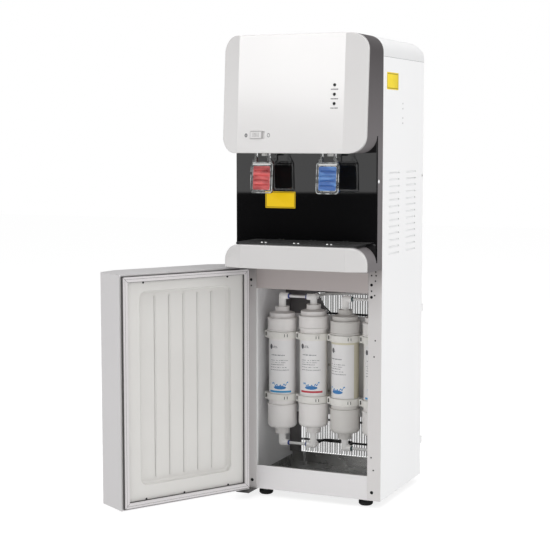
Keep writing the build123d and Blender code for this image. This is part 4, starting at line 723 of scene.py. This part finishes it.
def curved_tab(x, z, middle, half_turn, half_height, foot, lift):
    """A raised patch on a clip's ring, from a foot to a lift measured out from it in mm."""
    shape = bmesh.new()
    inner = clip_radius + foot
    outer = clip_radius + lift
    columns = []
    for i in range(bead_steps + 1):
        turn = math.radians(middle - half_turn + 2 * half_turn * i / bead_steps)
        columns.append([shape.verts.new(round_filter(x, turn, radius, z + height)) for radius, height in (
            (inner, -half_height), (outer, -half_height), (outer, half_height), (inner, half_height))])
    skin(shape, columns)
    shape.faces.new(list(reversed(columns[0])))
    shape.faces.new(columns[-1])
    bmesh.ops.recalc_face_normals(shape, faces=shape.faces)
    return shape


bead_rise = 6.3
bead_sizes = (12, 86, 1.1, -0.2, 0.9)
tab_sizes = (36, 9, 4.6, -0.2, 1.5)
tab_slot_turns = (31, 41)
tab_slot_sizes = (1.2, 3.2, 1.3, 1.6)
ear_slot_shifts = (-34.5, -30)
ear_depth = filter_depth - 13
ear_slot_sizes = (3.2, 9, 0.15, 0.4)
for column, x in enumerate(filter_columns, 1):
    for level, z in clip_levels:
        place = f"{column}_{level}"
        for edge, rise in (("upper", bead_rise), ("lower", -bead_rise)):
            edge_bead = curved_tab(x, z + rise, *bead_sizes)
            make_piece(f"clip_bead_{edge}_{place}", edge_bead, clip_white)
        make_piece(f"clip_tab_{place}", curved_tab(x, z, *tab_sizes), clip_white)
        for count, turn in enumerate(tab_slot_turns, 1):
            slot = curved_tab(x, z, turn, *tab_slot_sizes)
            make_piece(f"clip_tab_slot_{count}_{place}", slot, clip_shadow)
        for count, shift in enumerate(ear_slot_shifts, 1):
            slot = plate_shape(at(x + shift, ear_depth, z), rightward, upward, *ear_slot_sizes)
            make_piece(f"clip_ear_slot_{count}_{place}", slot, clip_shadow)
plate_screw_depth = 143.5
for row, z in enumerate((278.6, 218.3), 1):
    for column, x in enumerate((-15, 76), 1):
        pan_head(f"plate_screw_{row}_{column}", at(x, plate_screw_depth, z), forward, 6, 1.6, bright_screw)


# Push-in elbows and tees: milky acetal, with blue collets that lock the tube when they are pulled. The tubes
# are white, apart from the black one low at the back.
# The acetal glows a little: painted light in the shade under the cartridges.
milky = Finish("milky_acetal_painted_glow", (0.86, 0.85, 0.84), 0.3, Transmission_Weight=0.1, IOR=1.48,
               Emission_Color=(1, 0.98, 0.96), Emission_Strength=0.10)
milky_skin = milky.clouds(600, 2)
milky.put("Roughness", 0.22 + 0.15 * milky_skin)
milky.relief(milky_skin, 0.03, 0.8)
dress(milky, "filter_fittings")

deep_blue = (0.03, 0.06, 0.30)
collet_blue = grained("collet_blue", deep_blue, 0.35)
right_half = collet_blue.along("X") > 0
collet_blue.put("Base Color", collet_blue.blend(right_half, deep_blue, (0.005, 0.07, 0.08)))
dress(collet_blue, "fitting_collets")

plain_tube = (0.86, 0.86, 0.85)
black_tube_depth = 124 * mm
black_tube_top = 115 * mm
tube_white = grained("tube_white", plain_tube, 0.3, 0.01, 0)
low_tube = tube_white.along("Z") < black_tube_top
black_tube = (tube_white.along("Y") > front_plane + black_tube_depth) * low_tube
tube_white.put("Base Color", tube_white.blend(black_tube, plain_tube, (0.012, 0.012, 0.012)))
dress(tube_white, "water_tubes")


# Front frame, head and tray housings: injection-moulded in dark gray plastic with a satin face. A white plug
# closes the hole in the frame's right side.
housing_gray = Finish("satin_dark_gray", (0.150, 0.138, 0.142), 0.5, Specular_IOR_Level=0.3)
housing_grain = housing_gray.clouds(1100, 2)
# The gray is darker towards the top: painted shade.
housing_painted_shade = housing_gray.ramp(housing_gray.along("Z"), (0.55, (0.19, 0.178, 0.182)),
                                 (0.76, (0.18, 0.168, 0.172)), (0.85, (0.145, 0.134, 0.138)),
                                 (0.98, (0.085, 0.078, 0.08)))
housing_gray.put("Base Color", housing_painted_shade)
housing_gray.put("Roughness", 0.46 + 0.12 * housing_grain)
housing_gray.relief(housing_grain, 0.02, 0.8)
dress(housing_gray, "front_frame", "head_housing", "tray_housing")
# The white of the plug and of the grille's studs glows a little: a painted highlight.
plug_white_painted_glow = grained("plug_white_painted_glow", (0.90, 0.90, 0.90), 0.2, Emission_Color=(1, 1, 1), Emission_Strength=0.25)
dress(plug_white_painted_glow, "panel_screws")


# Dispensing panel: a gloss black moulding behind the taps, polished like a mirror. A plain yellow sticker is
# on its left half.
piano_black = Finish("piano_black", (0.007, 0.007, 0.0075), 0.01, IOR=1.52)
piano_black.put("Roughness", 0.005 + 0.02 * piano_black.clouds(7, 4, (1, 1, 3)))
dress(piano_black, "dispensing_panel")
# The panel sticker glows a little: painted light that lifts it out of the shade under the head.
warm_yellow = sticker_finish("yellow_panel_sticker", (0.95, 0.62, 0.004), (0.07, 0.05, 0.01), 0.04, 0.08,
                             0.22)
panel_sticker_sizes = (69, 35, 0.15, 0.8)
panel_sticker_middle = at(-56.5, -37, 657.5)
panel_sticker = plate_shape(panel_sticker_middle, rightward, upward, *panel_sticker_sizes)
make_piece("panel_sticker", panel_sticker, warm_yellow)


# Head facia: one white moulding with three facets and a short skirt, clipped over the housing's front. Three
# smoked lenses sit in it over small printed marks.
facia_white = Finish("gloss_white", (0.80, 0.80, 0.80), 0.25, Coat_Weight=0.8, Coat_Roughness=0.12)
facia_tone = facia_white.blend(facia_white.clouds(4, 2), (0.71, 0.697, 0.692), (0.78, 0.766, 0.761))
facia_white.put("Base Color", facia_tone)
facia_white.put("Roughness", 0.16 + 0.1 * facia_white.clouds(25, 3))
facia_white.relief(facia_white.clouds(9, 1), 0.12, 2.2)
dress(facia_white, "head_facia", "tray_facia")

facia_foot = 757
facia_height = 243
facia_lean = 16.7
facia_reach = 123.6
facia_up = Vector((0, facia_lean, facia_height)).normalized()
print_thickness = 0.08


def facia_point(x, z, lift=0.0):
    """A point on the flat middle of the leaning head facia, or at a lift in mm from it."""
    return at(x, facia_lean * (z - facia_foot) / facia_height - facia_reach - lift, z)


def ring_shape(centre, outer, inner):
    """A flat printed ring on the facia, a quarter taller than it is wide, sizes in mm."""
    shape = bmesh.new()
    tall = facia_up * 1.25
    out = rightward.cross(facia_up)
    rings = []
    for radius, lift in ((outer, 0), (outer, print_thickness), (inner, print_thickness), (inner, 0)):
        ring = []
        for i in range(24):
            turn = math.tau * i / 24
            point = (rightward * math.cos(turn) + tall * math.sin(turn)) * radius + out * lift
            ring.append(shape.verts.new(centre + point * mm))
        rings.append(ring)
    skin(shape, rings, closed=True)
    return shape


lens_dark = Finish("smoked_lens", (0.008, 0.008, 0.009), 0.3, Specular_IOR_Level=0.25)
lens_dark.put("Roughness", 0.25 + 0.1 * lens_dark.clouds(900, 2))
dress(lens_dark, "indicator_lenses")
print_gray = Finish("pad_print_gray", (0.30, 0.30, 0.31), 0.5)
specks = print_gray.clouds(2500, 2)
print_gray.put("Base Color", print_gray.blend(specks, (0.12, 0.12, 0.12), (0.30, 0.30, 0.31)))
lens_heights = (895, 876, 857.3)
lens_side = 96.5
dash_drop = 9
dash_height = 2.6
dashes = ((-6.4, 2.4), (-3.2, 2.8), (0, 2.2), (3.2, 3), (6.6, 2.6))
for lens, z in enumerate(lens_heights, 1):
    for count, (shift, width) in enumerate(dashes, 1):
        middle = facia_point(lens_side + shift, z - dash_drop)
        dash = plate_shape(middle, rightward, facia_up, width, dash_height, print_thickness, 0.5)
        make_piece(f"lens_dash_{lens}_{count}", dash, print_gray)
mark_radius = 3.4
marks = (("lock_dot", facia_point(-97.5, 793.6), 0.9), ("unlock_ring", facia_point(-46.5, 794), 2.3))
for name, middle, inner in marks:
    make_piece(name, ring_shape(middle, mark_radius, inner), print_gray)


# Child-lock slider: a ribbed white knob in a slot of the facia, between two printed marks. It slides right to
# free the hot tap.
dress(facia_white, "child_lock_slider")
slot_shadow = Finish("slider_slot_shadow", (0.46, 0.45, 0.45), 0.6)
slot_shadow.put("Roughness", 0.5 + 0.2 * slot_shadow.clouds(900, 2))
knob_side = -74.8
knob_height = 794.5
knob_face = 1.62
groove_floor = 1.22
groove_pitch = 3
groove_sizes = (0.9, 8.2, 0.05, 0.3)
edge_lines = ((-12.6, 0, 0.8, 14.2), (12.6, 0, 0.8, 14.2), (0, -6.9, 24.4, 0.8), (0, 6.9, 24.4, 0.8))
for count, (x, z, width, height) in enumerate(edge_lines, 1):
    middle = facia_point(knob_side + x, knob_height + z, knob_face)
    edge_line = plate_shape(middle, rightward, facia_up, width, height, 0.06, 0.3)
    make_piece(f"slider_edge_{count}", edge_line, slot_shadow, "child_lock")
for count in range(5):
    middle = facia_point(knob_side + groove_pitch * (count - 2), knob_height, groove_floor)
    groove = plate_shape(middle, rightward, facia_up, *groove_sizes)
    make_piece(f"slider_groove_{count + 1}", groove, slot_shadow, "child_lock")


# Taps: each lever is a clear moulded frame that swings on a pin. It carries a ribbed coloured pad, red for
# hot and blue for cold, under a white bar that is a painted highlight.
clear_plastic = Finish("clear_acrylic", (0.97, 0.98, 0.98), 0.0, Transmission_Weight=1.0, IOR=1.49)
clear_plastic.put("Roughness", 0.01 + 0.02 * clear_plastic.clouds(60, 2))
dress(clear_plastic, "hot_lever", "cold_lever")
# The beads round frame and pad run from near black to white in patches: painted highlights and dark
# reflections.
polished_edge = Finish("polished_acrylic_edge", (0.85, 0.87, 0.87), 0.06, Transmission_Weight=0.35, IOR=1.49)
painted_glint = polished_edge.ramp(polished_edge.clouds(95, 2), (0.40, (0.10, 0.11, 0.11)), (0.56, (0.98, 1.0, 1.0)))
polished_edge.put("Base Color", painted_glint)
polished_edge.put("Roughness", 0.05 + 0.08 * polished_edge.clouds(400, 2))


def swing(pivot, degrees, axis):
    """The turn about an axis through a pivot."""
    turn = Matrix.Rotation(math.radians(degrees), 4, axis)
    return Matrix.Translation(pivot) @ turn @ Matrix.Translation(-pivot)


paddle_face = -93.5
paddle_lean = swing(at(0, -90, 738.5), -4, "X")


def bead(x, z, width, height, corner, radius):
    """A round bead along a rectangle with round corners, on the leaning face of a paddle, sizes in mm."""
    shape = bmesh.new()
    path = [Vector((x + across, 0, z + rise)) for across, rise in round_corners(width, height, corner)]
    centre = Vector((x, 0, z))
    rings = []
    for i, point in enumerate(path):
        along = (path[(i + 1) % len(path)] - path[i - 1]).normalized()
        outward = Vector((along.z, 0, -along.x))
        if outward.dot(point - centre) < 0:
            outward = -outward
        ring = []
        for k in range(8):
            turn = math.tau * k / 8
            spot = point + outward * (radius * math.cos(turn))
            ring.append(shape.verts.new(at(spot.x, paddle_face + radius * math.sin(turn), spot.z)))
        rings.append(ring)
    skin(shape, rings, closed=True)
    bmesh.ops.recalc_face_normals(shape, faces=shape.faces)
    shape.transform(paddle_lean)
    return shape


pad_highlight_bar = grained("pad_highlight_bar_white", (0.86, 0.86, 0.86), 0.25)
outer_bead_sizes = (705.75, 48.6, 63.1, 6, 0.75)
pad_bead_sizes = (705, 40, 51, 3.9, 0.55)
highlight_bar_sizes = (41, 3.4, 0.9, 1.2)
for tap, x in (("hot", -74), ("cold", 74)):
    body = f"{tap}_tap_lever"
    make_piece(f"{tap}_outer_bead", bead(x, *outer_bead_sizes), polished_edge, body, 80)
    make_piece(f"{tap}_pad_bead", bead(x, *pad_bead_sizes), polished_edge, body, 80)
    bar = plate_shape(at(x, paddle_face - 0.05, 733.6), rightward, upward, *highlight_bar_sizes)
    bar.transform(paddle_lean)
    make_piece(f"{tap}_pad_highlight_bar", bar, pad_highlight_bar, body)


def pad_finish(name, colour, bright):
    """Glossy translucent plastic, with painted highlights in soft streaks along the ribs."""
    finish = Finish(name, colour, 0.25, Coat_Weight=0.5, Coat_Roughness=0.05)
    painted_highlight = finish.ramp(finish.clouds(60, 3, (0.35, 1, 1.6)), (0.44, (0, 0, 0)), (0.64, (1, 1, 1)))
    finish.put("Base Color", finish.blend(painted_highlight, colour, bright))
    finish.relief(finish.clouds(90, 3, (0.4, 1, 1.5)), 0.5, 0.8)
    return finish


dress(pad_finish("hot_red", (0.34, 0.002, 0.005), (0.80, 0.10, 0.10)), "hot_lever_pad")
dress(pad_finish("cold_blue", (0.010, 0.11, 0.42), (0.11, 0.31, 0.70)), "cold_lever_pad")


# Tray facia, drip tray and grille: a white apron like the head's, and a black tray that lifts out under a
# slotted black grille.
dress(grained("tray_black", (0.022, 0.022, 0.023), 0.32, 0.03, 0.6), "drip_tray", "drip_grille")
# The six stud heads glow white: painted highlights along the grille's front edge.
stud_sides = (-78.5, -69.5, -4.5, 4.5, 69.5, 78.5)
stud_depth = -84
stud_foot = 568.6
for count, x in enumerate(stud_sides, 1):
    pan_head(f"grille_stud_{count}", at(x, stud_depth, stud_foot), upward, 4.4, 2, plug_white_painted_glow,
             "grille")


# Door: a white moulded shell with a bowed front. Its back is a vacuum-formed liner with upright ribs, screwed
# inside the rim, with a gray magnetic gasket pushed into the groove round it.
door_white = Finish("door_white", (0.80, 0.80, 0.80), 0.3, Coat_Weight=0.25, Coat_Roughness=0.15)
door_tone = door_white.blend(door_white.clouds(5, 2), (0.73, 0.715, 0.72), (0.78, 0.765, 0.77))
door_white.put("Base Color", door_tone)
door_white.relief(door_white.clouds(12, 2), 0.1, 1.5)
dress(door_white, "door_shell")
liner_white = Finish("liner_white", (0.74, 0.725, 0.70), 0.45)
liner_tone = liner_white.blend(liner_white.clouds(8, 3), (0.665, 0.65, 0.628), (0.74, 0.73, 0.706))
liner_white.put("Base Color", liner_tone)
liner_white.put("Roughness", 0.36 + 0.2 * liner_white.clouds(300, 3))
liner_white.relief(liner_white.clouds(20, 3), 0.35, 3.5)
dress(liner_white, "door_liner")
dress(grained("gasket_gray", (0.70, 0.675, 0.68), 0.5, 0.04, 0.5), "door_gasket")
# Dark bars along the gasket's outer and inner edges and down its groove are painted shade; the short bars
# across its corners are its mitre joints.
gasket_shade_and_joint_finish = grained("gasket_shade_and_joint_dark", (0.07, 0.065, 0.065), 0.5, 0.03, 0.2)
door_turn = swing(at(-153.1, -26.4, 0), -120.5, "Z")


def add_box(shape, corners):
    """A box from the four corners of one end and the four of the other."""
    for face in ((0, 1, 2, 3), (4, 7, 6, 5), (0, 4, 5, 1), (1, 5, 6, 2), (2, 6, 7, 3), (3, 7, 4, 0)):
        shape.faces.new([corners[i] for i in face])


def add_bar(shape, start, end, width, low, high):
    """A straight bar between two places of the closed door, from one depth to another, sizes in mm."""
    along = Vector((end[0] - start[0], 0, end[1] - start[1])).normalized()
    across = Vector((-along.z, 0, along.x)) * (width / 2 * mm)
    add_box(shape, [shape.verts.new(at(x, depth, z) + side * across) for depth in (low, high)
                    for (x, z), side in ((start, -1), (start, 1), (end, 1), (end, -1))])


def rectangle_bars(shape, half, low, high, width, start, end):
    """Four bars round a rectangle of the closed door, from one depth to another."""
    reach = width / 2
    for side in (-half, half):
        add_bar(shape, (side, low - reach), (side, high + reach), width, start, end)
    for level in (low, high):
        add_bar(shape, (-half, level), (half, level), width, start, end)


gasket_half = 155
gasket_foot = 25.8
gasket_top = 506.5
gasket_width = 10.5
gasket_face = -0.8
shade_bar_front = gasket_face - 7.4
line_front = gasket_face - 0.5
inner_bar_inset = gasket_width + 0.6
groove = gasket_width * 0.42
lip = bmesh.new()
rectangle_bars(lip, gasket_half + 0.7, gasket_foot - 0.9, gasket_top + 0.9, 0.8, shade_bar_front, gasket_face - 1.2)
rectangle_bars(lip, gasket_half - inner_bar_inset, gasket_foot + inner_bar_inset, gasket_top - inner_bar_inset, 0.9, shade_bar_front,
               gasket_face - 3.5)
rectangle_bars(lip, gasket_half - groove, gasket_foot + groove, gasket_top - groove, 0.5, line_front,
               gasket_face + 0.04)
for side in (-1, 1):
    for corner, step in ((gasket_foot, gasket_width), (gasket_top, -gasket_width)):
        add_bar(lip, (side * gasket_half, corner), (side * (gasket_half - gasket_width), corner + step), 0.6,
                line_front, gasket_face + 0.05)
bmesh.ops.recalc_face_normals(lip, faces=lip.faces)
lip.transform(door_turn)
make_piece("gasket_shade_and_joints", lip, gasket_shade_and_joint_finish, "door")
liner_screw_depth = -8.4
liner_screws = ((100.8, 38.5), (7.6, 38.5), (103.9, 493), (-103.9, 493), (-103.9, 38.5))
inward = door_turn.to_3x3() @ backward
for count, (x, z) in enumerate(liner_screws, 1):
    pan_head(f"liner_screw_{count}", door_turn @ at(x, liner_screw_depth, z), inward, 4.6, 1.4, dark_screw_and_hole_shade,
             "door")


# Hinge brackets: dark gray painted plates with a riveted pin, one under the pan and one on the deck. The door
# swings between them.
dress(grained("bracket_gray", (0.10, 0.10, 0.10), 0.35, 0.02, 0.4), "hinge_brackets")


# Top cover: a white moulded lid with broad rounded edges that drops over the side panels. A thin gray strip
# in the seam under its rim is painted shade of the gap there.
dress(grained("cover_white", (0.88, 0.88, 0.885), 0.36, 0.03, 0.6), "top_cover")
seam_shade_gray = Finish("seam_shade_strip", (0.22, 0.22, 0.23), 0.7)
seam_shade_gray.put("Roughness", 0.6 + 0.2 * seam_shade_gray.clouds(900, 2))
seam_foot = 956.5
seam_top = 957.1
seam_shade_reach = half_width + 0.06
seam_shade_inside = half_width - 0.1
seam = bmesh.new()
for left, right, front, back in ((-seam_shade_reach, -seam_shade_inside, 1, 272.06), (seam_shade_inside, seam_shade_reach, 1, 272.06),
                                 (-half_width, half_width, 271.9, 272.06)):
    add_box(seam, [seam.verts.new(at(x, depth, z)) for z in (seam_foot, seam_top) for x, depth in (
        (left, front), (left, back), (right, back), (right, front))])
make_piece("cover_seam_shade_strip", seam, seam_shade_gray)


# Studio: a pale floor, soft boxes at the right, above and in front, and a camera where the photograph's was.
# A tent of light stands all round, brightest at the front left, and shows in the gloss as gray.
floor_shape = bmesh.new()
bmesh.ops.create_grid(floor_shape, x_segments=1, y_segments=1, size=9)
floor_mesh = bpy.data.meshes.new("studio_floor")
floor_shape.to_mesh(floor_mesh)
floor_shape.free()
floor_finish = Finish("pale_floor", (0.35, 0.35, 0.35), 0.7, Specular_IOR_Level=0.0, Emission_Color=(1, 1, 1),
                      Emission_Strength=0.79)
floor_mesh.materials.append(floor_finish.material)
floor = bpy.data.objects.new("studio_floor", floor_mesh)
floor.visible_glossy = False
bpy.context.scene.collection.objects.link(floor)

studio = bpy.data.worlds.new("studio")
bpy.context.scene.world = studio
studio.use_nodes = True
sky = Shading(studio.node_tree)


def sky_step(value, start, end):
    """Rises from 0 to 1 between two values."""
    return sky.node("ShaderNodeMapRange", {"interpolation_type": "SMOOTHSTEP"},
                    {"Value": value, "From Min": start, "From Max": end})


direction = sky.node("ShaderNodeTexCoord", out="Generated")
side_way, depth_way, up_way = [sky.part(direction, axis) for axis in "XYZ"]
horizon = sky_step(up_way, -0.041, -0.039)
wall_top = sky_step(up_way, 0.18, 0.07)
ahead = sky_step(depth_way, 0.1, -0.3)
left_front = sky_step(side_way, 0.15, -0.35)
screen = horizon * wall_top * ahead * (0.8 + left_front * 0.9)
dome = sky.node("ShaderNodeMath", {"operation": "MAXIMUM"}, {0: up_way * 1.05, 1: 0.05})
glow = sky.node("ShaderNodeBackground", {}, {"Strength": screen + dome * horizon})
plain = sky.node("ShaderNodeBackground", {}, {"Color": (1, 1, 1)})
seen = sky.node("ShaderNodeLightPath", out="Is Camera Ray")
either = sky.node("ShaderNodeMixShader", {}, {0: seen, 1: glow, 2: plain})
sky.feed(sky.tree.nodes["World Output"].inputs["Surface"], either)


def soft_box(name, position, target, width, height, power):
    """A rectangular area light that looks at a point."""
    lamp = bpy.data.lights.new(name, "AREA")
    lamp.shape = "RECTANGLE"
    lamp.size = width
    lamp.size_y = height
    lamp.energy = power
    lamp_object = bpy.data.objects.new(name, lamp)
    lamp_object.location = position
    lamp_object.rotation_euler = (Vector(target) - Vector(position)).to_track_quat("-Z", "Y").to_euler()
    bpy.context.scene.collection.objects.link(lamp_object)


soft_box("right_box", (3.2, 0.3, 1.6), (0, 0, 0.5), 2.0, 2.6, 36)
soft_box("top_box", (0.0, -0.5, 3.2), (0, 0, 0.5), 2.4, 2.4, 45)
soft_box("front_box", (-0.3, -3.6, 2.2), (0, 0, 0.6), 2.6, 1.6, 6.5)
soft_box("gloss_box", (-1.15, -3.0, 1.8), (0, -0.25, 0.9), 1.3, 1.0, 17)
bpy.data.objects["gloss_box"].visible_diffuse = False

photo_width = 550
focal_length = 1383.455
camera_yaw = math.radians(23.9027)
camera_pitch = math.radians(5.7117)
camera_data = bpy.data.cameras.new("photo_camera")
camera_data.sensor_width = 36
camera_data.lens = camera_data.sensor_width * focal_length / photo_width
camera = bpy.data.objects.new("photo_camera", camera_data)
camera.location = (1.1250, front_plane - 2.7311, 0.7911)
camera.rotation_euler = (math.pi / 2 - camera_pitch, 0, camera_yaw)
bpy.context.scene.collection.objects.link(camera)
bpy.context.scene.camera = camera
bpy.context.scene.view_settings.view_transform = "Standard"
